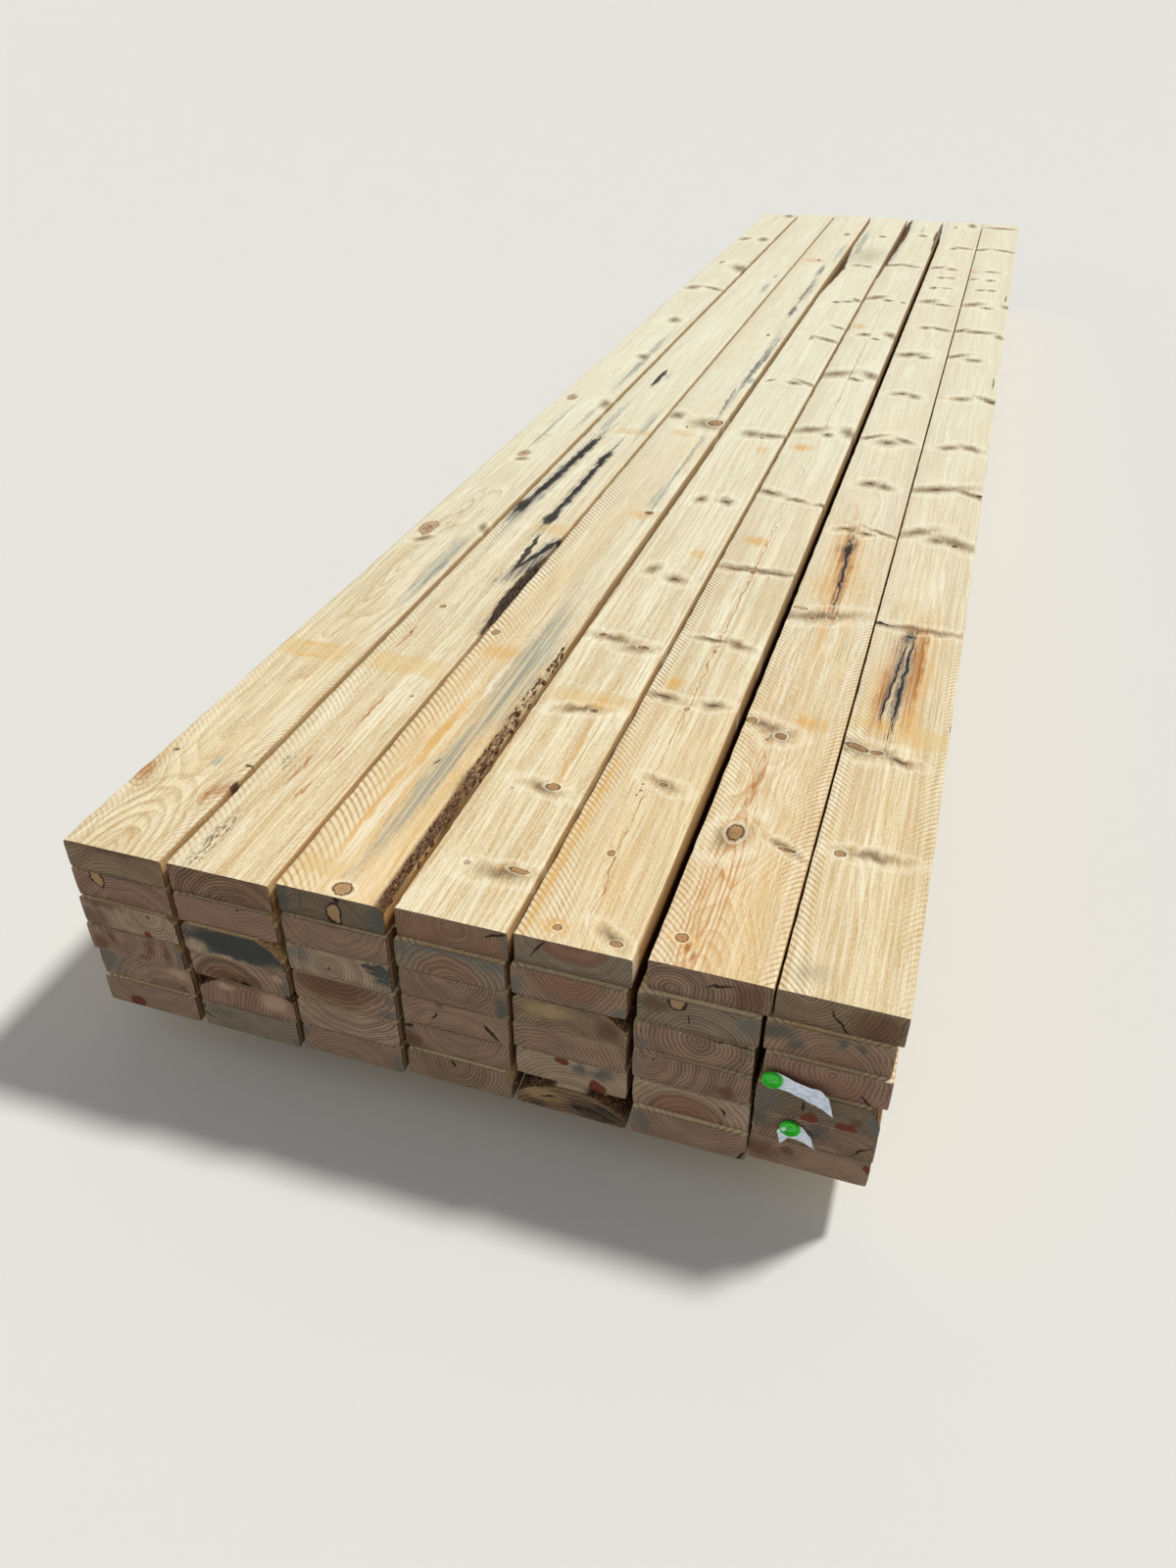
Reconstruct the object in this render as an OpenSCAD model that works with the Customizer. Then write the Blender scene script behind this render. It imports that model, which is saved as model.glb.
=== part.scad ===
/* [Boards] */
// Width of a sawn board
plank_w = 150; // [100:1:200]
// Thickness of a sawn board
plank_t = 47; // [30:1:60]
// Length that the boards are cut to, with the usual allowance over 4.8 m
plank_l = 4840; // [2400:10:6000]

/* [Stacking] */
// Usual gap between two boards lying side by side
column_gap = 9.2; // [4:0.1:20]
// How far the front ends of the boards are out of line
front_stagger = 20; // [2:1:40]
// How far one board is cut longer or shorter than the next
length_stagger = 40; // [5:1:80]

/* [Bearers] */
// Width of a bearer under the stack
bearer_w = 48; // [38:1:80]
// Height of a bearer
bearer_h = 70; // [48:1:100]
// How far a bearer's ends stay inside the sides of the stack
bearer_inset = 12; // [2:1:40]
// Distance from the stack's ends to the middle of the outer bearers
bearer_from_end = 480; // [200:10:800]
// Width of the strap groove under a bearer
groove_w = 20; // [12:1:30]
// Depth of the strap groove under a bearer
groove_d = 9; // [4:1:16]

/* [Wrap remains] */
// Diameter of a plastic cap that held the wrap
cap_d = 25; // [16:0.5:34]
// Height of a cap's rim
cap_h = 4.5; // [3:0.5:8]
// Thickness of a cap's web
cap_web_t = 1.6; // [1:0.1:2.5]
// Width of a cap's rim and of its ring
cap_rim_w = 1.8; // [1:0.1:2.5]
// Diameter of the boss in the middle of a cap, and of its spigot
cap_boss_d = 8; // [5:0.5:10]
// Thickness of the torn film
film_t = 0.6; // [0.3:0.1:1]
// Length of the longer torn scrap from its cap's middle
scrap_l = 77; // [40:1:85]
// Distance from a cap's rim to the nearest edge of its board
cap_margin = 1.2; // [0.5:0.1:3]

/* [Hidden] */
// Front ends of the boards, one row a layer from the top down and one value a column from the left
front_shares = [
    [-0.15, -0.10, 0.30, 0.60, 0.75, 1.10, 1.15],
    [-0.25, -0.35, 0.00, 0.20, 0.35, 0.65, 0.80],
    [-0.50, -0.65, -0.10, 0.15, 0.25, 0.50, 0.45],
    [-0.60, -0.55, -0.30, 0.05, 0.25, 0.25, 0.15],
    [-0.60, -0.70, -0.50, -0.05, 0.15, 0.10, 0.20],
    [-0.85, -0.80, -0.60, -0.35, -0.30, -0.30, 0.15]
];
// How much each board is longer or shorter than the usual length
length_shares = [
    [-0.70, 0.15, 0.65, 0.60, -0.10, 0.20, -0.05],
    [0.10, -0.30, 0.20, 0.75, 0.30, -0.45, 0.55],
    [-0.20, 0.45, 0.10, -0.35, 0.55, 0.25, -0.60],
    [0.35, -0.05, -0.50, 0.30, -0.25, 0.65, 0.15],
    [-0.40, 0.55, 0.25, -0.15, 0.40, -0.20, 0.30],
    [0.20, -0.25, 0.50, 0.05, -0.55, 0.35, -0.10]
];
// How far each board lies to the left or right of its column's line, in gaps
side_shares = [
    [-0.22, -0.16, -0.44, 0.00, -0.22, 0.54, -0.16],
    [-0.11, 0.11, -0.16, -0.27, -0.60, -0.44, -0.92],
    [0.11, 0.60, -0.11, -0.05, -0.38, -0.70, -0.49],
    [0.05, 0.70, 0.33, 0.00, -0.49, -0.60, -0.97],
    [0.80, 1.08, 0.54, 0.05, -0.16, -0.33, -0.92],
    [0.92, 0.97, 0.76, 0.44, 0.05, -0.16, -1.03]
];
layers = len(front_shares);
columns = len(front_shares[0]);

// Boards sawn so near the bark that the round of the log takes off an edge.
// Layer, column, side, width lost, height lost, log radius, where it is deepest, length it runs out in
wane_shares = [
    [1, 2, 1, 0.11, 0.45, 0.80, 0.18, 0.04],
    [1, 3, 1, 0.11, 0.40, 0.80, 0.06, 0.15],
    [1, 4, -1, 0.17, 0.45, 0.80, 0.78, 0.09],
    [1, 5, -1, 0.20, 0.45, 0.80, 0.93, 0.20],
    [2, 2, 1, 0.04, 0.50, 0.80, 0.00, 0.50],
    [3, 1, 1, 0.08, 0.28, 0.80, 0.00, 0.60],
    [3, 2, 1, 0.24, 0.64, 0.75, 0.00, 0.80],
    [3, 5, 1, 0.19, 0.49, 0.77, 0.00, 0.70],
    [4, 1, 1, 0.04, 0.40, 0.85, 0.00, 0.50],
    [4, 5, 1, 0.05, 0.16, 0.85, 0.00, 0.40],
    [4, 7, 1, 0.10, 0.60, 0.80, 0.00, 0.30],
    [5, 2, -1, 0.22, 0.51, 0.77, 0.00, 0.50],
    [6, 4, 1, 0.06, 0.34, 0.80, 0.00, 0.70],
    [6, 5, 1, 0.40, 0.64, 0.71, 0.00, 1.20]
];
// Layers of the right-hand column that the two caps are fixed to
upper_layer = 3;
lower_layer = 5;
// Middle of the lower cap across its board's end, and its distance from the top edge in margins
lower_cap_across_share = 0.31;
lower_cap_margins_share = 4.5;
// Outline of the longer scrap, to the right of its cap's middle in its length and up in the board's thickness
upper_scrap_shares = [
    [-0.10, 0.48], [0.06, 0.57], [0.24, 0.46], [0.44, 0.35], [0.80, 0.33],
    [1.00, -0.27], [0.83, -0.12], [0.64, -0.07], [0.47, -0.03], [0.17, -0.01], [-0.08, 0.12]
];
// Outline of the shorter scrap, in the same measures
lower_scrap_shares = [
    [-0.20, 0.50], [-0.08, 0.75], [0.05, 0.80], [0.18, 0.76], [0.27, 0.71],
    [0.34, 0.54], [0.43, 0.22], [0.25, 0.29], [-0.01, 0.25], [-0.12, 0.12]
];
cap_ring_share = 0.62;
bearer_count = 4;
// Room round a cap's spigot in the film
spigot_clear = 0.3;
overrun = 1;
round_facets = 96;

column_pitch = plank_w + column_gap;
stack_h = layers * plank_t;
lefts = [for (l = [1 : layers]) for (c = [1 : columns]) raw_left(l, c)];
fronts = [for (l = [1 : layers]) for (c = [1 : columns]) raw_front(l, c)];
backs = [for (l = [1 : layers]) for (c = [1 : columns]) raw_front(l, c) + board_length(l, c)];
middle_x = (min(lefts) + max(lefts) + plank_w) / 2;
middle_y = (min(fronts) + max(backs)) / 2;
stack_w = max(lefts) - min(lefts) + plank_w;
stack_l = max(backs) - min(fronts);
bearer_l = stack_w - 2 * bearer_inset;
bearer_pitch = (stack_l - 2 * bearer_from_end) / (bearer_count - 1);
upper_cap = [cap_d / 2 + cap_margin, cap_d / 2 + cap_margin];
lower_cap = [
    lower_cap_across_share * plank_w,
    plank_t - cap_d / 2 - lower_cap_margins_share * cap_margin
];

function raw_left(l, c) = (c - 1) * column_pitch + column_gap * side_shares[l - 1][c - 1];
function raw_front(l, c) = front_stagger * front_shares[l - 1][c - 1];
function board_length(l, c) = plank_l + length_stagger * length_shares[l - 1][c - 1];
function board_place(l, c) = [
    raw_left(l, c) - middle_x,
    raw_front(l, c) - middle_y,
    bearer_h + (layers - l) * plank_t
];
function board_name(l, c) = str("board_layer_", l, "_row_", c);
function bearer_name(n) = str("bearer_", n);
function wanes(l, c) = [for (row = wane_shares) if (row[0] == l && row[1] == c) row];

// How far the board below stands out in front of a board of the right-hand row
function step_out(l) = max(0, raw_front(l, columns) - raw_front(l + 1, columns));
// The outer face of the film, which lies on the board below and is held out level above it
function film_place(l) = board_place(l, columns) + [0, -step_out(l) - film_t, 0];

// Where the log's middle lies below the right-hand top edge, from what the round takes off there
function log_middle(wide, high, radius) =
    let (chord = norm([wide, high]), depth = sqrt(radius * radius - chord * chord / 4))
    [-wide / 2 - depth * high / chord, -high / 2 - depth * wide / chord];

// A log that swells from its thinnest place towards both ends
module wane_log(row, length) {
    radius = row[5] * plank_w;
    middle = log_middle(row[3] * plank_w, row[4] * plank_t, radius);
    slope = (norm(middle) - radius) / (row[7] * plank_l);
    thin_at = row[6] * length;
    translate([plank_w / 2 + row[2] * (plank_w / 2 + middle.x), 0, plank_t + middle.y])
        rotate([-90, 0, 0])
            rotate_extrude($fn = round_facets)
                polygon([
                    [0, -overrun],
                    [radius + slope * thin_at, -overrun],
                    [radius, thin_at],
                    [radius + slope * (length - thin_at), length + overrun],
                    [0, length + overrun]
                ]);
}

module sawn_board(length) {
    cube([plank_w, length, plank_t]);
}

module board(l, c) {
    found = wanes(l, c);
    length = board_length(l, c);
    color((l + 2 * c) % 3 == 0 ? "burlywood" : (l + 2 * c) % 3 == 1 ? "wheat" : "tan")
        translate(board_place(l, c))
            if (len(found) == 0)
                sawn_board(length);
            else
                intersection() {
                    sawn_board(length);
                    wane_log(found[0], length);
                }
}

module bearer(n) {
    color("tan")
        translate([-bearer_l / 2, -stack_l / 2 + bearer_from_end + (n - 1) * bearer_pitch - bearer_w / 2, 0])
            difference() {
                cube([bearer_l, bearer_w, bearer_h]);
                translate([-overrun, (bearer_w - groove_w) / 2, -overrun])
                    cube([bearer_l + 2 * overrun, groove_w, groove_d + overrun]);
            }
}

// A dished disc with a raised rim, a ring and a boss, on a spigot that reaches back to its board
module wrap_cap(l, middle) {
    rim_r = cap_d / 2;
    ring_r = rim_r * cap_ring_share;
    ring_h = (cap_h + cap_web_t) / 2;
    spigot_r = cap_boss_d / 2;
    spigot_l = step_out(l) + film_t;
    color("limegreen")
        translate(film_place(l) + [middle.x, 0, middle.y])
            rotate([90, 0, 0])
                rotate_extrude($fn = round_facets)
                    polygon([
                        [0, -spigot_l], [spigot_r, -spigot_l], [spigot_r, 0], [rim_r, 0],
                        [rim_r, cap_h], [rim_r - cap_rim_w, cap_h],
                        [rim_r - cap_rim_w, cap_web_t], [ring_r, cap_web_t], [ring_r, ring_h],
                        [ring_r - cap_rim_w / 2, ring_h], [ring_r - cap_rim_w / 2, cap_web_t],
                        [spigot_r, cap_web_t], [spigot_r, ring_h], [0, ring_h]
                    ]);
}

// A torn piece of film behind its cap, with a hole for the spigot
module wrap_scrap(l, middle, outline_shares) {
    color("whitesmoke")
        translate(film_place(l) + [middle.x, film_t, 0])
            rotate([90, 0, 0])
                linear_extrude(film_t)
                    difference() {
                        polygon([for (p = outline_shares) [p.x * scrap_l, p.y * plank_t]]);
                        translate([0, middle.y])
                            circle(d = cap_boss_d + 2 * spigot_clear, $fn = round_facets);
                    }
}

module wrap_cap_upper() {
    wrap_cap(upper_layer, upper_cap);
}

module wrap_cap_lower() {
    wrap_cap(lower_layer, lower_cap);
}

module wrap_scrap_upper() {
    wrap_scrap(upper_layer, upper_cap, upper_scrap_shares);
}

module wrap_scrap_lower() {
    wrap_scrap(lower_layer, lower_cap, lower_scrap_shares);
}

for (l = [1 : layers]) for (c = [1 : columns])
    board(l, c);
for (n = [1 : bearer_count])
    bearer(n);
wrap_cap_upper();
wrap_cap_lower();
wrap_scrap_upper();
wrap_scrap_lower();
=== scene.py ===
import functools
import math
import random

import bmesh
import bpy
from mathutils import Matrix, Vector, noise


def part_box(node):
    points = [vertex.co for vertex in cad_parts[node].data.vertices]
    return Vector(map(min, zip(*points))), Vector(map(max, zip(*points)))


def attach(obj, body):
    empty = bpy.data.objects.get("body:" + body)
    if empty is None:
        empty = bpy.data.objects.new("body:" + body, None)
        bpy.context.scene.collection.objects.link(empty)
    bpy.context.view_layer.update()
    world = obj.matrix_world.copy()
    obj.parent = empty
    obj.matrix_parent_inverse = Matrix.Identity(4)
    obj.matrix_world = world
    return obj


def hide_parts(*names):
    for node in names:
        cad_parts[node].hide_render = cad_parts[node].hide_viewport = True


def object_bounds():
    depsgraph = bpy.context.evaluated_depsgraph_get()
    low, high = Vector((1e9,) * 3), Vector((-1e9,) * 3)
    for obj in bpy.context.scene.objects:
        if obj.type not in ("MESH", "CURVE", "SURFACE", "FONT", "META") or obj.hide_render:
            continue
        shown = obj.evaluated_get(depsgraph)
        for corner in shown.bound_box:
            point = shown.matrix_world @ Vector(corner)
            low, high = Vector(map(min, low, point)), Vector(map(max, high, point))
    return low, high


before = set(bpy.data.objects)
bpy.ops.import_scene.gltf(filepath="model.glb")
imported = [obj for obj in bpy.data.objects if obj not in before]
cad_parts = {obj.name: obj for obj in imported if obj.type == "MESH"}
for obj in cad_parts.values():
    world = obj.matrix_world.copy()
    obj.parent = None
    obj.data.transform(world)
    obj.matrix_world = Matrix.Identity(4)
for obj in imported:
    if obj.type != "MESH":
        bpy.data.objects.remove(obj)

MM = 0.001
LAYERS = 6
ROWS = 7
BEARERS = 4
cad_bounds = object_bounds()


def srgb(code):
    """A colour given as its hex code, as Blender's linear values."""
    steps = [int(code[i:i + 2], 16) / 255 for i in (0, 2, 4)]
    return [s / 12.92 if s <= 0.04045 else ((s + 0.055) / 1.055) ** 2.4 for s in steps] + [1.0]


class Graph:
    """A material whose nodes are made by short calls that return output sockets."""

    def __init__(self, name):
        self.material = bpy.data.materials.new(name)
        self.material.use_nodes = True
        self.tree = self.material.node_tree
        self.tree.nodes.clear()

    def node(self, kind, inputs=(), **settings):
        """A node, with its settings and what goes into its sockets, by place or by name."""
        made = self.tree.nodes.new(kind)
        for key, value in settings.items():
            setattr(made, key, value)
        named = inputs.items() if isinstance(inputs, dict) else enumerate(inputs)
        for key, value in named:
            if isinstance(value, bpy.types.NodeSocket):
                self.tree.links.new(value, made.inputs[key])
            else:
                made.inputs[key].default_value = srgb(value) if isinstance(value, str) else value
        return made

    def math(self, operation, *values):
        return self.node("ShaderNodeMath", values, operation=operation).outputs[0]

    def mul(self, one, two):
        return self.math("MULTIPLY", one, two)

    def add(self, one, two):
        return self.math("ADD", one, two)

    def sub(self, one, two):
        return self.math("SUBTRACT", one, two)

    def div(self, one, two):
        return self.math("DIVIDE", one, two)

    def fma(self, value, factor, added):
        return self.math("MULTIPLY_ADD", value, factor, added)

    def off(self, one, two):
        """How far two values are apart."""
        return self.math("ABSOLUTE", self.sub(one, two))

    def bell(self, value, fall):
        return self.math("EXPONENT", self.mul(self.mul(value, value), fall))

    def least(self, values):
        return functools.reduce(lambda one, two: self.math("MINIMUM", one, two), values)

    def vector(self, operation, *values):
        made = self.node("ShaderNodeVectorMath", values, operation=operation)
        return made.outputs["Value" if operation == "LENGTH" else "Vector"]

    def combine(self, *values):
        return self.node("ShaderNodeCombineXYZ", values).outputs[0]

    def split(self, vector):
        return self.node("ShaderNodeSeparateXYZ", [vector]).outputs

    def millimetres(self, start=(0, 0, 0)):
        """Where a point of the stack is, from a start given in metres."""
        coords = self.node("ShaderNodeTexCoord").outputs["Object"]
        return self.vector("MULTIPLY_ADD", coords, (1 / MM,) * 3, [-c / MM for c in start])

    def clouds(self, vector, scale, detail, roughness=0.5):
        inputs = {"Vector": self.vector("MULTIPLY", vector, scale), "Scale": 1.0}
        return self.node("ShaderNodeTexNoise", dict(inputs, Detail=detail, Roughness=roughness))

    def noise(self, vector, scale, detail=2.0, roughness=0.5):
        return self.clouds(vector, scale, detail, roughness).outputs[0]

    def colour_noise(self, vector, scale, detail=1.0):
        """Three noises at once, as a vector about zero that reaches some 0.25 each way."""
        return self.vector("SUBTRACT", self.clouds(vector, scale, detail).outputs["Color"], (0.5,) * 3)

    def ramp(self, *values):
        """A value between two limits, eased over to two others, which are 0 and 1 if not given."""
        return self.node("ShaderNodeMapRange", values, interpolation_type="SMOOTHSTEP").outputs[0]

    def rise(self, value, low, high, most=1.0):
        return self.ramp(value, low, high, 0.0, most)

    def fall(self, value, low, high, most=1.0):
        return self.ramp(value, low, high, most, 0.0)

    def line(self, value, at, solid, gone, most):
        """A line where the value passes another, solid and then gone that far from it."""
        return self.fall(self.off(value, at), solid, gone, most)

    def mix(self, share, first, second, blend="MIX"):
        inputs = {0: share, 6: first, 7: second}
        return self.node("ShaderNodeMix", inputs, data_type="RGBA", blend_type=blend).outputs[2]

    def tint(self, base, *coats):
        """Coats of colour over a base. Each has the value it follows, where that starts and ends,
        the most that it covers, and its colour."""
        for value, low, high, most, colour in coats:
            base = self.mix(self.rise(value, low, high, most), base, colour)
        return base

    def spots(self, vector, places):
        """How far a point is from the nearest of some ellipses, where 1 is on an edge.
        A place is x, y, half width, half length and an optional turn in degrees."""
        found = []
        for x, y, half_width, half_length, *turn in places:
            inputs = {"Vector": vector, "Location": (x, y, 0), "Rotation": (0, 0, math.radians(sum(turn))),
                      "Scale": (half_width, half_length, 1)}
            made = self.node("ShaderNodeMapping", inputs, vector_type="TEXTURE")
            found.append(self.vector("LENGTH", made.outputs[0]))
        return self.least(found)

    def boxes(self, vector, places):
        """The same as spots for upright boxes."""
        found = []
        for x, y, half_width, half_length in places:
            scale = (1 / half_width, 1 / half_length, 0)
            scaled = self.vector("MULTIPLY_ADD", vector, scale, (-x / half_width, -y / half_length, 0))
            across, along, up = self.split(self.vector("ABSOLUTE", scaled))
            found.append(self.math("MAXIMUM", across, along))
        return self.least(found)

    def along(self, x, y, places, lean):
        """The same as spots, for many ellipses along a board. They are dealt out to tracks, and each track
        is one colour ramp that holds the nearest ellipse's place and size at every distance along."""
        reach, length, spread, apart, most_stops = 200.0, 5000.0, 1.3, 20, 31
        tracks = []
        for place in sorted(places, key=lambda one: one[1]):
            for track in tracks:
                free = place[1] - spread * place[3] - (track[-1][1] + spread * track[-1][3])
                if free > apart and len(track) < most_stops:
                    track.append(place)
                    break
            else:
                tracks.append([place])
        found = []
        for track in tracks:
            ramp = self.node("ShaderNodeValToRGB", [self.div(y, length)])
            ramp.color_ramp.interpolation = "CONSTANT"
            elements = ramp.color_ramp.elements
            elements.remove(elements[1])
            for i, place in enumerate(track):
                start = (sum(track[i - 1][1::2]) + place[1] - place[3]) / 2 / length if i else 0.0
                element = elements.new(start) if i else elements[0]
                element.position = start
                at_x, at_y, half_width, half_length = place
                element.color = (at_x / reach + 0.5, at_y / length, half_width / reach, half_length / length)
            red, green, blue = self.split(ramp.outputs["Color"])
            middle = self.sub(red, 0.5)
            off_x = self.sub(self.div(x, reach), middle)
            off_y = self.sub(self.div(y, length), green)
            if lean:
                tilt = self.mul(self.math("ABSOLUTE", middle), lean * 6 * reach / length)
                off_y = self.fma(self.mul(off_x, self.math("SIGN", middle)), tilt, off_y)
            scaled = self.combine(self.div(off_x, blue), self.div(off_y, ramp.outputs["Alpha"]), 0.0)
            found.append(self.vector("LENGTH", scaled))
        return self.least(found)

    def nearest(self, vector, places, lean=0.0):
        """How far a point is from the nearest of the places, by whichever way takes fewer nodes."""
        turned = [place for place in places if len(place) > 4]
        plain = [place for place in places if len(place) <= 4]
        if len(plain) < 4:
            return self.spots(vector, places)
        x, y, z = self.split(vector)
        found = self.along(x, y, plain, lean)
        return self.least([found, self.spots(vector, turned)]) if turned else found

    def finish(self, colour, roughness, height=None, bump_mm=0.5, specular=0.3, metal=0.0):
        inputs = {"Base Color": colour, "Roughness": roughness, "Metallic": metal}
        inputs["Specular IOR Level"] = specular
        if height is not None:
            bump = {"Strength": 1.0, "Distance": bump_mm * MM, "Height": height}
            inputs["Normal"] = self.node("ShaderNodeBump", bump).outputs[0]
        shader = self.node("ShaderNodeBsdfPrincipled", inputs)
        self.node("ShaderNodeOutputMaterial", {"Surface": shader.outputs[0]})
        return self.material


# What each board looks like. Places are millimetres: across from the board's middle, then along it
# from its front end on a long face, or up from its middle on an end face.
# Tones of the board ends: end grain's own darker colour, lowered a little more as painted shade
TONES = {
    "tan": "927966",
    "olive": "86725b",
    "pink": "907262",
    "blush": "9e8471",
    "rosy": "8c6d5b",
    "grey": "837768",
    "pale": "aa957f",
    "brown": "846550",
    "weathered": "6c6050",
    "dark": "82684a",
}


def cut(pith, gap, contrast, tone, **marks):
    """What a board's end shows: where the rings' middle is, how far they are apart, and its marks."""
    return dict(marks, pith=pith, gap=gap, contrast=contrast, tone=tone)


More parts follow.
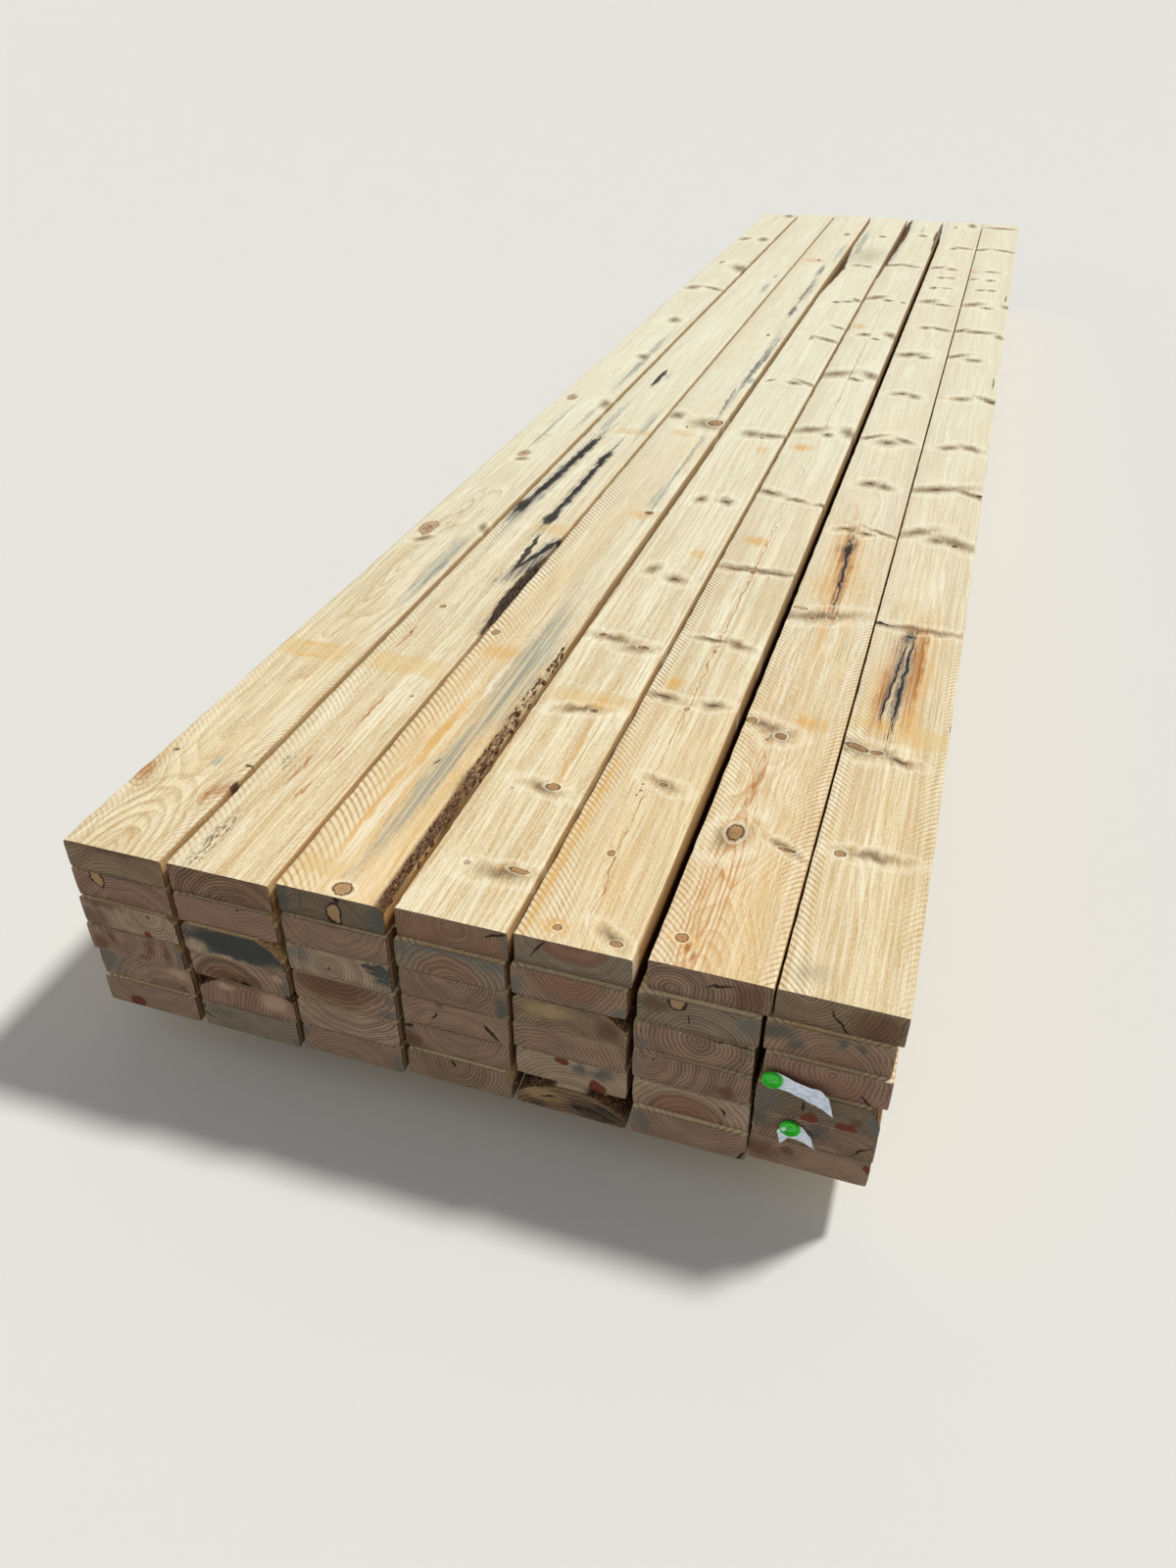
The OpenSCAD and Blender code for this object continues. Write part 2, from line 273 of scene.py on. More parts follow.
# The ends by layer and row
ENDS = {
    (1, 1): cut((0, -85), 4.0, 0.35, "olive", brown=[(10, 22, 70, 9)]),
    (2, 1): cut((5, -65), 3.0, 0.5, "pink", red=[(-62, -2, 9, 26, -38), (36, -17, 8, 6)],
        ring_knot=[(-37, 14, 9, 15, 25)]),
    (3, 1): cut((35, 15), 3.2, 0.55, "pale", brown=[(-42, 19, 36, 8), (-60, -8, 26, 22)],
        red_knot=[(27, -22, 9, 7)], dot=[(34, 15, 3, 3)], grey=[(-72, -8, 6, 14)]),
    (4, 1): cut((-25, 10), 3.5, 0.35, "tan", grey=[(71, 0, 7, 26)], brown=[(-58, -8, 13, 14),
        (-36, 6, 7, 13, 25), (25, 6, 10, 22, -15), (13, -18, 8, 6), (50, 0, 8, 20)]),
    (5, 1): cut((30, -45), 3.0, 0.7, "blush", grey=[(-62, 6, 26, 26)], pale=[(55, 12, 18, 12)],
        brown=[(58, -16, 8, 8)]),
    (6, 1): cut((0, 60), 3.5, 0.12, "tan", red_knot=[(-27, -16, 13, 14)]),
    (1, 2): cut((22, -48), 3.4, 1.0, "brown"),
    (2, 2): cut((0, 80), 4.0, 0.1, "pink", dot=[(22, 19, 2.5, 2)]),
    (3, 2): cut((0, -60), 4.0, 0.1, "grey", slate=[(10, 4, 96, 28)], pale=[(-57, -12, 19, 14, 8),
        (-14, -23, 26, 5)]),
    (4, 2): cut((-21, -38), 6.0, 0.45, "tan", heart=(53, "brown", 0.9), brown=[(-15, -14, 45, 12)],
        dot=[(6, -22, 8, 4), (-12, -18, 8, 1.8, -20)], grey=[(71, -6, 8, 22)], pale=[(58, 6, 8, 10)]),
    (5, 2): cut((80, -30), 4.0, 0.25, "pink", pale=[(45, 5, 26, 18), (-30, 14, 16, 8)]),
    (6, 2): cut((60, 40), 4.5, 0.12, "grey", dot=[(-72, 12, 2, 9), (-68, -2, 10, 1.8, -20)],
        grey=[(70, -15, 8, 12), (-40, 10, 20, 10)]),
    (1, 3): cut((-25, -60), 3.0, 0.5, "weathered", teal=[(-68, 0, 10, 30), (-42, 5, 3, 24),
        (66, 0, 20, 28)], ring_knot=[(4, -5, 11, 19)], brown=[(3, -12, 7, 9)], dot=[(10, 17, 4, 5, 20)]),
    (2, 3): cut((0, 42), 2.6, 0.6, "tan"),
    (3, 3): cut((-13, -5), 3.2, 0.5, "pale", dot=[(-15, -6, 2.6, 2.6)], slate=[(60, 13, 28, 9, -12),
        (60, 2, 22, 4, -12), (66, -8, 14, 3, -10)], teal=[(64, 0, 16, 24)], grey=[(-60, 10, 22, 16)]),
    (4, 3): cut((-10, 50), 6.0, 0.5, "tan", heart=(72, "brown"), brown=[(-18, 16, 62, 30)],
        grey=[(66, 12, 10, 10), (66, -16, 22, 10)]),
    (5, 3): cut((5, 75), 3.3, 0.8, "pale"),
    (6, 3): cut((-15, -45), 4.0, 0.2, "tan", grey=[(70, -10, 13, 30, 15), (-73, 12, 7, 14)]),
    (1, 4): cut((2, 10), 3.0, 0.5, "brown", heart=(56, "rosy"), red=[(-30, 0, 30, 24), (45, -6, 22, 16)],
        dot=[(58, 14, 17, 2.6, 18)], grey=[(73, 0, 6, 24)]),
    (2, 4): cut((0, -35), 6.0, 0.25, "grey", heart=(50, "rosy", 0.35), grey=[(0, 22, 80, 7),
        (-66, 12, 14, 14), (60, 15, 20, 11)]),
    (3, 4): cut((-3, 30), 3.3, 0.65, "tan", teal=[(66, -6, 12, 22)]),
    (4, 4): cut((-5, -60), 4.0, 0.2, "tan", brown=[(-20, 20, 7, 6)], dot=[(-29, -3, 1.6, 9, -35),
        (50, -8, 3.2, 23, 37)]),
    (5, 4): cut((8, 35), 3.4, 0.4, "tan", brown=[(-64, -10, 16, 16)], dot=[(-69, 18, 9, 3, 15)]),
    (6, 4): cut((-7, 17), 3.4, 0.55, "tan", dot=[(-7, 17, 3, 3)], grey=[(74, 0, 6, 26)]),
    (1, 5): cut((0, 45), 3.0, 0.5, "grey", heart=(52, "rosy"), red=[(0, 14, 42, 17)],
        dot=[(-44, 8, 2.2, 20, -36)]),
    (2, 5): cut((0, 30), 4.0, 0.4, "tan", heart=(46, "rosy"), red=[(0, 10, 45, 22)],
        grey=[(66, -16, 13, 10), (-68, -5, 9, 20)]),
    (3, 5): cut((-8, -45), 3.5, 0.4, "olive", yellow=[(-32, 8, 36, 14)], brown=[(50, -2, 20, 20)]),
    (4, 5): cut((-38, -40), 4.0, 0.35, "tan"),
    (5, 5): cut((0, -60), 4.0, 0.25, "pale", red_knot=[(35, -17, 13, 12), (-13, 19, 10, 8)],
        teal=[(42, 12, 20, 13, 20), (12, 10, 13, 13)]),
    (6, 5): cut((0, -80), 5.0, 1.0, "dark", mould=[(38, -8, 50, 22), (-48, -16, 16, 8)],
        yellow=[(-40, 2, 34, 14)], dot=[(52, -2, 26, 2, -25), (44, -11, 24, 2, -25), (20, -3, 18, 1.6, -20),
        (-30, 0, 14, 2, 10), (10, -8, 7, 5)]),
    (1, 6): cut((-45, -15), 3.6, 0.65, "tan", dot=[(12, 6, 22, 1.8, 16)], brown=[(50, 0, 24, 26)]),
    (2, 6): cut((5, -45), 4.0, 0.4, "grey", ring_knot=[(-26, 23, 12, 12)], brown=[(-52, 10, 22, 14)],
        dot=[(-11, -2, 1.6, 11)], grey=[(60, 8, 14, 16, -25)]),
    (3, 6): cut((5, 13), 4.0, 0.55, "tan", grey=[(-66, -8, 12, 8), (69, 12, 8, 5)], dot=[(45, 22, 34, 1.6)]),
    (4, 6): cut((-60, 15), 3.0, 0.6, "tan", dot=[(-47, 17, 2.5, 2.5)], brown=[(45, -13, 17, 10)]),
    (5, 6): cut((-5, -40), 6.0, 0.3, "pale", heart=(52, "rosy", 0.35), red=[(-10, -12, 56, 34)],
        dot=[(43, -2, 1.8, 10, 32)]),
    (6, 6): cut((20, 60), 4.0, 0.2, "tan", grey=[(-62, 2, 14, 24, 20)], dot=[(70, -14, 3, 12, -30)]),
    (1, 7): cut((-40, 30), 3.5, 0.35, "olive", brown=[(42, -3, 36, 26)], dot=[(0, -7, 1.8, 21, 36)]),
    (2, 7): cut((8, -30), 4.0, 0.35, "tan", red=[(8, -16, 34, 16)], teal=[(-58, 10, 24, 16),
        (-38, -5, 12, 10), (15, 14, 7, 9), (36, 12, 6, 8)]),
    (3, 7): cut((5, 12), 4.0, 0.35, "pink", red=[(0, -4, 60, 20)], dot=[(49, -17, 2.4, 13, 45)]),
    (4, 7): cut((15, -50), 3.6, 0.35, "weathered", red_knot=[(-8, -18, 11, 11), (37, -19, 13, 8)],
        dot=[(-18, 3, 2.4, 10, 14)], brown=[(48, -5, 5, 14, -20)], grey=[(68, 0, 10, 26), (-62, 0, 18, 20)]),
    (5, 7): cut((20, -50), 3.2, 0.75, "tan", teal=[(-66, 6, 15, 20), (5, 8, 13, 20, -10)],
        dot=[(58, -8, 1.6, 22, -42)]),
    (6, 7): cut((30, -50), 3.5, 0.3, "tan", brown=[(-58, -2, 22, 17), (-28, 8, 10, 10)],
        red_knot=[(71, 10, 4, 9)]),
}

# Top faces of the upper layer
TOPS = {
    1: dict(
        pith=(0, -95), gap=5.6, warm=0.3, rings=1.4, late="b08a52", hatch=(0.22, 0.35, 11.0),
        arch=[(150, 90, 16), (900, 300, -9), (2300, 500, 8), (3500, 500, -8)],
        flame=[((-4, -10, 56, 160), 5, 0.45), ((-14, 1010, 22, 260), 4, 0.45),
            ((-70, 176, 20, 44, 20), 3, 0.5), ((66, 165, 20, 44, -20), 3, 0.5)],
        scar=[(-9, 1569, 12, 22), (-43, 1096, 17, 34), (-40, 2002, 14, 26)],
        shade=[(-30, 1044, 16, 14), (-4, 1528, 14, 12), (65, 1131, 12, 16), (33, 2429, 18, 26),
            (15, 2863, 20, 34), (59, 1976, 14.6, 32.5), (59, 3664, 37.8, 52), (-36, 3321, 24, 34),
            (35, 3322, 38, 20), (-40, 4221, 22, 34), (33, 4228, 20.4, 42.2), (41, 4783, 20.4, 48.7),
            (-32, 3752, 8.7, 19.5)],
        dark=[(69, 228, 6, 4), (-56, 233, 4, 4), (75, 180, 4, 12), (-50, 1086, 2, 5), (-44, 1102, 2, 5),
            (-39, 1078, 2, 4)],
        resin=[(-70, 178, 13, 34, 20), (66, 165, 13, 30, -20)],
        blue=[(50, 930, 13, 150), (46, 1020, 8, 60), (-14, 1780, 4, 190), (48, 1850, 6, 110),
            (45, 2400, 9, 280), (20, 226, 6, 14)],
        sticker=[(-11, 566, 64, 27)],
        orange=[(-14, 585, 24, 4), (-12, 545, 26, 4), (-10, 1700, 26, 4)]),
    2: dict(
        pith=(-20, 70), gap=3.0, warm=0.3, hatch=(0.4, 0.1, 12.0),
        knot=[(-30, 779, 5, 7)],
        dark=[(51, 478, 3, 3), (-42, 672, 2, 6)],
        resin=[(-42, 660, 3, 34, -3), (20, 301, 2.5, 26), (14, 199, 3.5, 22), (-15, 250, 3, 40),
            (8, 420, 2, 50)],
        mould=[(-43, 62, 15, 78), (-43, 262, 12, 26)],
        crust=[(56, 1020, 18, 120, -12), (-48, 1490, 14, 270, -3), (21, 1420, 12, 260),
            (-60, 1240, 14, 60)],
        black=[(69, 880, 10, 125), (58, 1050, 6, 95, -14), (-41, 1600, 9, 138, -2), (-50, 1420, 8, 130, -4),
            (-62, 1265, 12, 42), (21, 1420, 6, 230), (19, 1590, 9, 50), (19, 1222, 12, 44),
            (32, 1050, 5, 85, 3), (-25, 2239, 7, 72)],
        blue=[(-45, 1870, 9, 120), (50, 1850, 7, 100), (-5, 2261, 5, 42), (49, 3577, 5, 30),
            (46, 3372, 9, 78), (-48, 1380, 12, 300)],
        sticker=[(0, 566, 70, 27), (30, 1787, 44, 20), (40, 1166, 34, 22)]),
    3: dict(
        pith=(-30, -110), gap=2.6, warm=0.9, amber=0.42, hatch=(0.65, 0.0, 14.0),
        knot=[(11.6, 18, 13, 11), (-59, 710, 8, 9), (54, 1907, 16, 19), (51, 1301, 9, 9)],
        shade=[(40, 1895, 43.7, 39), (-53, 1937, 20.4, 26), (30, 4433, 13.1, 32.5)],
        dark=[(9, 314, 1.6, 9, -20), (-7, 1856, 3, 12, 15), (20, 2765, 5, 15), (-2, 3898, 8, 13),
            (51, 1301, 6, 6)],
        blue=[(22, 290, 15, 220, -2), (36, 620, 27, 250), (10, 120, 5, 90, -3), (49, 1600, 5, 340),
            (48, 1400, 10, 90), (52, 2450, 7, 420), (67, 2283, 9, 22), (44, 3400, 9, 160),
            (40, 3080, 4, 66), (31, 3700, 10, 90), (55, 4050, 10, 160)],
        orange=[(-18, 380, 9, 120), (-5, 245, 4, 80), (-30, 180, 5, 120), (-22, 646, 32, 22),
            (3, 652, 12, 14), (40, 1290, 22, 22)],
        sticker=[(-35, 51, 36, 16), (-2, 1812, 28, 20)],
        pale=[(-12, 200, 6, 160, -2), (-22, 150, 3, 90), (2, 560, 4, 120)],
        crust=[(46, 2060, 5, 130, 1.5), (57, 2480, 7, 230, -1.5), (39, 3085, 8, 80), (37, 3360, 5, 200),
            (33, 3720, 6, 110)],
        pink=[(-15, 3880, 42, 34)]),
    4: dict(
        pith=(0, 14), gap=3.0, warm=0.12, rings=0.45, late="d4b682", hatch=(0.0, 0.0, 11.0),
        knot=[(47, 114, 13, 5, -4), (-23, 110, 4, 4), (27, 302, 10, 7), (19, 512, 6, 5), (-43, 754, 6, 6),
            (37, 731, 9, 6)],
        shade=[(30, 104, 35, 14.6, 10), (14, 296, 29.1, 11.4), (-2, 510, 35, 11.4, 12),
            (-22, 748, 40.8, 13, -8), (30, 726, 26.3, 14.6, 12), (-30, 1036, 13.1, 19.5),
            (21, 1006, 20.4, 16.2), (-26, 1404, 14.6, 21.1), (28, 1408, 17.4, 21.1), (-8, 1853, 23.3, 24.4),
            (40, 1850, 52.4, 19.5, 8), (40, 2762, 52.4, 17.8), (-9, 2771, 7.3, 21.1),
            (-48, 2300, 11.7, 14.6), (20, 2296, 19, 17.8), (52, 2304, 35, 14.6), (50, 2917, 26.3, 14.6),
            (-12, 3842, 19, 17.8), (25, 3831, 21.8, 21.1), (-4, 3247, 16, 14.6), (32, 3265, 24.7, 16.2, 30),
            (58, 3294, 17.4, 22.7), (16, 4424, 16, 22.7)],
        grime=[(0, 4020, 74, 180)],
        dark=[(-43, 754, 3, 3), (38, 733, 4, 3), (20, 1006, 6, 4), (-26, 1404, 4, 6), (28, 1408, 5, 6),
            (22, 1828, 6, 5), (-48, 2300, 4, 5), (20, 2296, 6, 5), (32, 3265, 8, 4, 30), (19, 512, 4, 3),
            (-27, 283, 2.5, 2.5), (-4, 3247, 5, 4)],
        orange=[(28, 405, 2.5, 100), (24, 530, 26, 16), (20, 112, 12, 6), (36, 1127, 16, 20),
            (39, 1744, 11, 26), (30, 312, 10, 10), (-37, 4092, 20, 26)],
        sticker=[(30, 545, 48, 22), (-20, 545, 40, 18)],
        blue=[(-68, 3720, 8, 190), (-50, 4250, 12, 260)]),
    5: dict(
        pith=(-2, 28), gap=3.0, warm=0.35, amber=0.22, hatch=(0.75, 0.0, 11.0),
        knot=[(-28, 26, 6, 5), (49, 20, 7, 5), (17, 352, 6, 4), (-8, 183, 5, 6), (-2, 560, 4, 6),
            (-2, 752, 3, 5), (-4, 1077, 5, 8)],
        shade=[(42, 28, 20.4, 11.4), (17, 354, 24.7, 11.4), (-45, 585, 32, 9.7, -14),
            (35, 583, 20.4, 11.4, 8), (-15, 792, 35, 8.1, -4), (33, 785, 24.7, 13), (0, 1088, 85.1, 13),
            (-48, 1485, 32, 17.8, -18), (14, 1458, 29.1, 11.4, -18), (69, 1445, 17.4, 11.4, -20),
            (-34, 1923, 43.7, 24.4), (14, 1897, 13.1, 17.8), (-19, 2856, 20.4, 21.1),
            (21, 2816, 13.1, 14.6), (61, 2870, 23.3, 32.5), (-41, 2414, 46.5, 32.5),
            (17, 2378, 23.3, 14.6, -30), (54, 2428, 29.1, 32.5), (-34, 3890, 49.5, 22.7),
            (20, 3888, 43.7, 16.2), (-41, 3350, 32, 29.2), (3, 3321, 17.4, 16.2), (54, 3306, 10.1, 14.6),
            (17, 4491, 17.4, 32.5), (62, 1925, 20.4, 32.5)],
        dark=[(-45, 586, 18, 2, -12), (35, 583, 9, 2.5, 10), (-14, 793, 16, 1.6, -6),
            (-36, 1080, 40, 2.4, -4), (40, 1081, 36, 2.4, 6), (-48, 1486, 14, 3.5, -18),
            (69, 1445, 8, 3, -20), (14, 1897, 5, 6), (-19, 2856, 7, 7), (17, 2378, 8, 4, -30),
            (3, 3321, 6, 4), (-63, 3872, 4, 16), (-12, 345, 2.5, 3), (-10, 330, 3, 2), (-13, 318, 2, 2)],
        resin=[(-2, 900, 1.3, 800), (-1, 2500, 1.3, 900), (2, 120, 1.2, 110, 4)],
        orange=[(-40, 630, 20, 20), (-26, 1219, 24, 20), (-30, 1792, 24, 22), (-48, 2949, 20, 26),
            (-30, 28, 22, 14), (-66, 150, 8, 160), (-62, 330, 6, 90)],
        blue=[(5, 4600, 5, 90), (-60, 4350, 14, 420), (-53, 4060, 3, 110)]),
    6: dict(
        pith=(-20, -50), gap=5.0, warm=0.65, rings=1.6, amber=0.28, late="c68646",
        hatch=(0.5, 0.5, 11.0),
        arch=[(150, 105, 26), (400, 60, 12)],
        flame=[((-28, 120, 19, 205), 3, 0.8), ((-28, 420, 9, 95), 2, 0.6)],
        knot=[(-46, 49, 8, 7), (-29, 270, 10, 17), (44, 253, 10, 4, -5), (-65, 553, 8, 8), (-14, 522, 8, 8),
            (-33, 507, 3, 4), (-57, 952, 12, 6, -8), (1, 929, 7, 7), (-32, 918, 5, 6)],
        shade=[(-44, 545, 35, 14.6, -20), (-14, 522, 19, 17.8), (40, 258, 26.3, 9.7),
            (-32, 262, 23.3, 29.2), (-28, 1332, 20.4, 13), (12, 1318, 16, 13), (45, 1330, 37.8, 8.1),
            (-14, 1598, 23.3, 21.1), (19, 1588, 20.4, 17.8), (-50, 1909, 35, 14.6), (-6, 1880, 26.3, 24.4),
            (32, 1903, 23.3, 17.8), (-30, 2666, 40.8, 27.6), (12, 2652, 20.4, 19.5),
            (-14, 2280, 26.3, 17.8), (19, 2268, 19, 21.1), (-46, 3884, 32, 21.1), (8, 3869, 20.4, 21.1),
            (-17, 3719, 16, 17.8), (16, 3723, 17.4, 14.6), (-32, 3548, 13.1, 21.1), (12, 3555, 20.4, 13),
            (-32, 3344, 29.1, 30.9), (18, 3308, 35, 16.2), (-10, 2990, 20.4, 17.8), (34, 2986, 32, 21.1),
            (-32, 4714, 8.7, 21.1), (34, 4769, 17.4, 48.7), (-10, 4258, 14.6, 21.1), (26, 4280, 35, 21.1),
            (-20, 930, 72.8, 19.5)],
        dark=[(-28, 1332, 7, 4), (12, 1318, 5, 4), (-14, 1598, 7, 6), (-6, 1880, 7, 6), (-30, 2670, 10, 6),
            (-14, 2280, 8, 5), (-46, 3884, 8, 5), (-17, 3719, 5, 6), (-32, 3548, 4, 7), (-10, 2990, 7, 5),
            (-10, 4258, 4, 6), (46, 253, 7, 1.5, -5)],
        pale=[(-10, 2655, 6, 8), (0, 2268, 6, 8)],
        resin=[(-25, 388, 4, 46, -4), (-34, 34, 5, 10), (-24, 22, 4, 8), (-7, 1150, 10, 195, 2.4)],
        orange=[(-6, 862, 8, 56), (-40, 45, 22, 14), (-7, 1160, 30, 230, 2.4), (23, 571, 24, 20),
            (1, 925, 14, 12), (-12, 1060, 40, 70)],
        tawny=[(-8, 1160, 13, 190, 2.4), (-12, 1230, 20, 50)],
        crust=[(-7, 1147, 6, 178, 2.4), (-11, 1235, 9, 40)],
        black=[(-7, 1147, 2.0, 165, 2.4), (-10, 1230, 4, 26)]),
    7: dict(
        pith=(-30, 34), gap=3.0, warm=0.4, amber=0.14, hatch=(0.55, 0.42, 11.0),
        knot=[(-42, 267, 7, 6), (-24, 521, 8, 6), (-54, 527, 17, 7, -22)],
        grime=[(-42, 37, 24, 20)],
        shade=[(0, 274, 37.8, 11.4), (-56, 525, 35, 17.8, -20), (9, 508, 26.3, 9.7, -14),
            (-20, 520, 20.4, 14.6), (0, 930, 84, 11.4), (-17, 1889, 23.3, 17.8), (34, 1897, 26.3, 21.1),
            (-25, 1608, 75.7, 21.1), (50, 1600, 43.7, 16.2), (-42, 1357, 35, 21.1), (-2, 1327, 19, 17.8),
            (36, 1325, 43.7, 22.7), (-53, 2691, 35, 21.1), (-2, 2662, 26.3, 17.8), (-13, 2282, 23.3, 21.1),
            (60, 2285, 35, 22.7), (0, 3868, 29.1, 17.8), (-61, 3725, 20.4, 13), (1, 3725, 17.4, 21.1),
            (-24, 3561, 19, 13), (12, 3565, 14.6, 17.8), (-39, 3342, 35, 30.9), (5, 3306, 19, 17.8),
            (67, 3335, 16, 24.4), (-57, 2988, 23.3, 21.1), (-2, 2985, 49.5, 21.1), (60, 2941, 13.1, 24.4),
            (5, 4746, 69.9, 24.4), (-53, 4271, 32, 21.1), (34, 4271, 49.5, 21.1)],
        dark=[(9, 508, 12, 2.5, -14), (-25, 1608, 12, 5), (34, 1310, 6, 8), (-53, 2695, 10, 5),
            (-61, 3725, 7, 4), (5, 3306, 5, 5), (-57, 2988, 7, 5), (0, 2985, 12, 4), (63, 2450, 2, 60),
            (63, 3459, 3, 50), (75, 621, 3, 12)],
        pale=[(-24, 2654, 6, 9), (-12, 1365, 4, 12, 30)],
        orange=[(6, 790, 34, 190), (-36, 700, 22, 130), (-30, 600, 18, 40), (-50, 2278, 22, 10),
            (-62, 3860, 12, 30), (12, 630, 20, 60)],
        sticker=[(32, 576, 48, 26), (-30, 600, 40, 14)],
        pink=[(-53, 3860, 18, 26), (52, 4132, 5, 13)],
        resin=[(9, 790, 10, 150, -1), (-33, 700, 9, 100, -3), (-14, 905, 14, 26)],
        tawny=[(-32, 730, 9, 130, -3), (8, 800, 9, 120, -1), (-30, 830, 10, 70)],
        crust=[(-9, 750, 8, 170, -1.2), (-24, 752, 7, 155, -3.2), (-14, 892, 12, 28)],
        black=[(-9, 735, 2.0, 150, -1.2), (-24, 740, 1.9, 125, -3.2), (-13, 903, 5, 10),
            (-62, 935, 14, 3.6, -10), (70, 1596, 11, 4.5), (68, 2278, 12, 5)]),
}
PLAIN_TOP = dict(pith=(0, 0), gap=3.2, warm=0.45, rings=0.6, amber=0.1, late="c6a470", hatch=(0.6, 0.6, 11.0))
BARKS = {
    "brown": ("2e2019", "684830", "bc966c"),
    "black": ("26211f", "4a382e", "785c46"),
    "pale": ("96704a", "c49e6e", "dec094"),
}
BARK_OF = dict.fromkeys([(2, 2), (3, 1), (3, 2), (4, 1), (4, 5), (6, 4)], "pale")
BARK_OF[(1, 2)] = "black"

# Round log edges: side, width lost, height lost, log radius, where it is deepest, the length it runs out in.
# These are the same measures as the solids have, in millimetres.
BOARD_W, BOARD_T, BOARD_L = 150.0, 47.0, 4840.0
WANES = {
    (1, 2): (1, 0.11, 0.45, 0.80, 0.18, 0.04),
    (1, 3): (1, 0.11, 0.40, 0.80, 0.06, 0.15),
    (1, 4): (-1, 0.17, 0.45, 0.80, 0.78, 0.09),
    (1, 5): (-1, 0.20, 0.45, 0.80, 0.93, 0.20),
    (2, 2): (1, 0.04, 0.50, 0.80, 0.00, 0.50),
    (3, 1): (1, 0.08, 0.28, 0.80, 0.00, 0.60),
    (3, 2): (1, 0.24, 0.64, 0.75, 0.00, 0.80),
    (3, 5): (1, 0.19, 0.49, 0.77, 0.00, 0.70),
    (4, 1): (1, 0.04, 0.40, 0.85, 0.00, 0.50),
    (4, 5): (1, 0.05, 0.16, 0.85, 0.00, 0.40),
    (4, 7): (1, 0.10, 0.60, 0.80, 0.00, 0.30),
    (5, 2): (-1, 0.22, 0.51, 0.77, 0.00, 0.50),
    (6, 4): (1, 0.06, 0.34, 0.80, 0.00, 0.70),
    (6, 5): (1, 0.40, 0.64, 0.71, 0.00, 1.20),
}

# Long-face colours
EARLY = "f6edcb"
WARM = "eccc92"
PAINTED_GLARE = "eeefdc"
BOARD_TINTS = ("f0dcb2", "d6b886", "dcceac", "c8b696", "e8c892")

# For each kind of mark: its colour, the most it covers, where its edge starts and ends in half widths,
# how much the fibres break it up, and how deep it is
FACE_MARKS = {
    "sticker": ("e0bc76", 0.45, 0.8, 1.2, 1.0, 0.0),
    "orange": ("e0ac5c", 0.8, 0.3, 1.5, 2.0, 0.0),
    "tawny": ("965c32", 0.75, 0.3, 1.4, 2.0, 0.0),
    "pink": ("de9682", 0.5, 0.2, 1.3, 1.0, 0.0),
    "blue": ("8a928c", 0.78, 0.4, 1.4, 2.2, 0.0),
    "shade": ("887050", 0.75, 0.3, 1.45, 1.2, 0.0),
    "grime": ("a09478", 0.45, 0.0, 1.5, 1.2, 0.0),
    "resin": ("b06e32", 0.95, 0.4, 1.4, 2.2, 0.0),
    "scar": ("aa7e5a", 0.75, 0.5, 1.3, 1.0, 0.0),
    "crust": ("686262", 0.9, 0.6, 1.25, 2.2, 0.0),
    "pale": ("faf6e6", 0.45, 0.2, 1.4, 1.6, 0.0),
    "knot": ("c09464", 0.9, 0.85, 1.1, 0.2, 0.0),
    "black": ("282422", 0.95, 0.85, 1.25, 1.2, 2.0),
    "dark": ("483426", 0.9, 0.5, 1.2, 0.5, 1.2),
}
END_MARKS = {
    "red": ("845848", 0.32, 0.4, 1.4, 0.4, 0.0),
    "brown": ("563826", 0.65, 0.4, 1.3, 0.8, 0.0),
    "pale": ("b8a084", 0.6, 0.3, 1.3, 0.6, 0.0),
    "yellow": ("ac9468", 0.55, 0.3, 1.3, 0.8, 0.0),
    "grey": ("60615b", 0.7, 0.4, 1.3, 0.8, 0.0),
    "teal": ("484e4a", 0.75, 0.3, 1.25, 0.9, 0.0),
    "slate": ("323636", 0.92, 0.7, 1.15, 0.8, 0.0),
    "mould": ("302b26", 0.7, 0.3, 1.2, 1.2, 0.0),
    "red_knot": ("622e1e", 0.95, 0.85, 1.08, 0.1, 0.1),
    "dot": ("281c16", 0.95, 0.6, 1.1, 0.3, 1.5),
}
# Marks whose shape is clear cut, marks that rise towards the board's edges, and marks with streaks in them
CLEAR_KINDS = ("knot", "dark")
LEANS = {"shade": 0.5}
STREAKED = {"blue": 0.4, "orange": 0.45, "tawny": 0.4, "resin": 0.5, "crust": 0.6}

# Measures of the meshes in millimetres: worn edges, the bearers' groove, the caps and the film
ARRIS = 1.1
GROOVE_W, GROOVE_D = 20.0, 9.0
CAP_H = 4.5
# The cap's rim, inwards from its edge and forwards from its back, and its dish, ring and boss by radius
CAP_RIM = [(0.5, 0), (0, 0.5), (0, 3.7), (0.25, 4.25), (0.8, 4.5), (1.3, 4.35), (1.7, 3.8), (2.0, 2.1),
           (2.5, 1.6)]
CAP_DISH = [(9.0, 1.6), (8.8, 2.7), (8.4, 3.0), (8.0, 2.7), (7.8, 1.7), (4.6, 1.6), (4.1, 1.9), (3.9, 2.8),
            (3.4, 3.05), (0, 3.05)]
STAPLE = [(-3.6, 2.2), (-3.6, 3.3), (-3.3, 3.6), (3.3, 3.6), (3.6, 3.3), (3.6, 2.2)]
FILM_T = 0.3
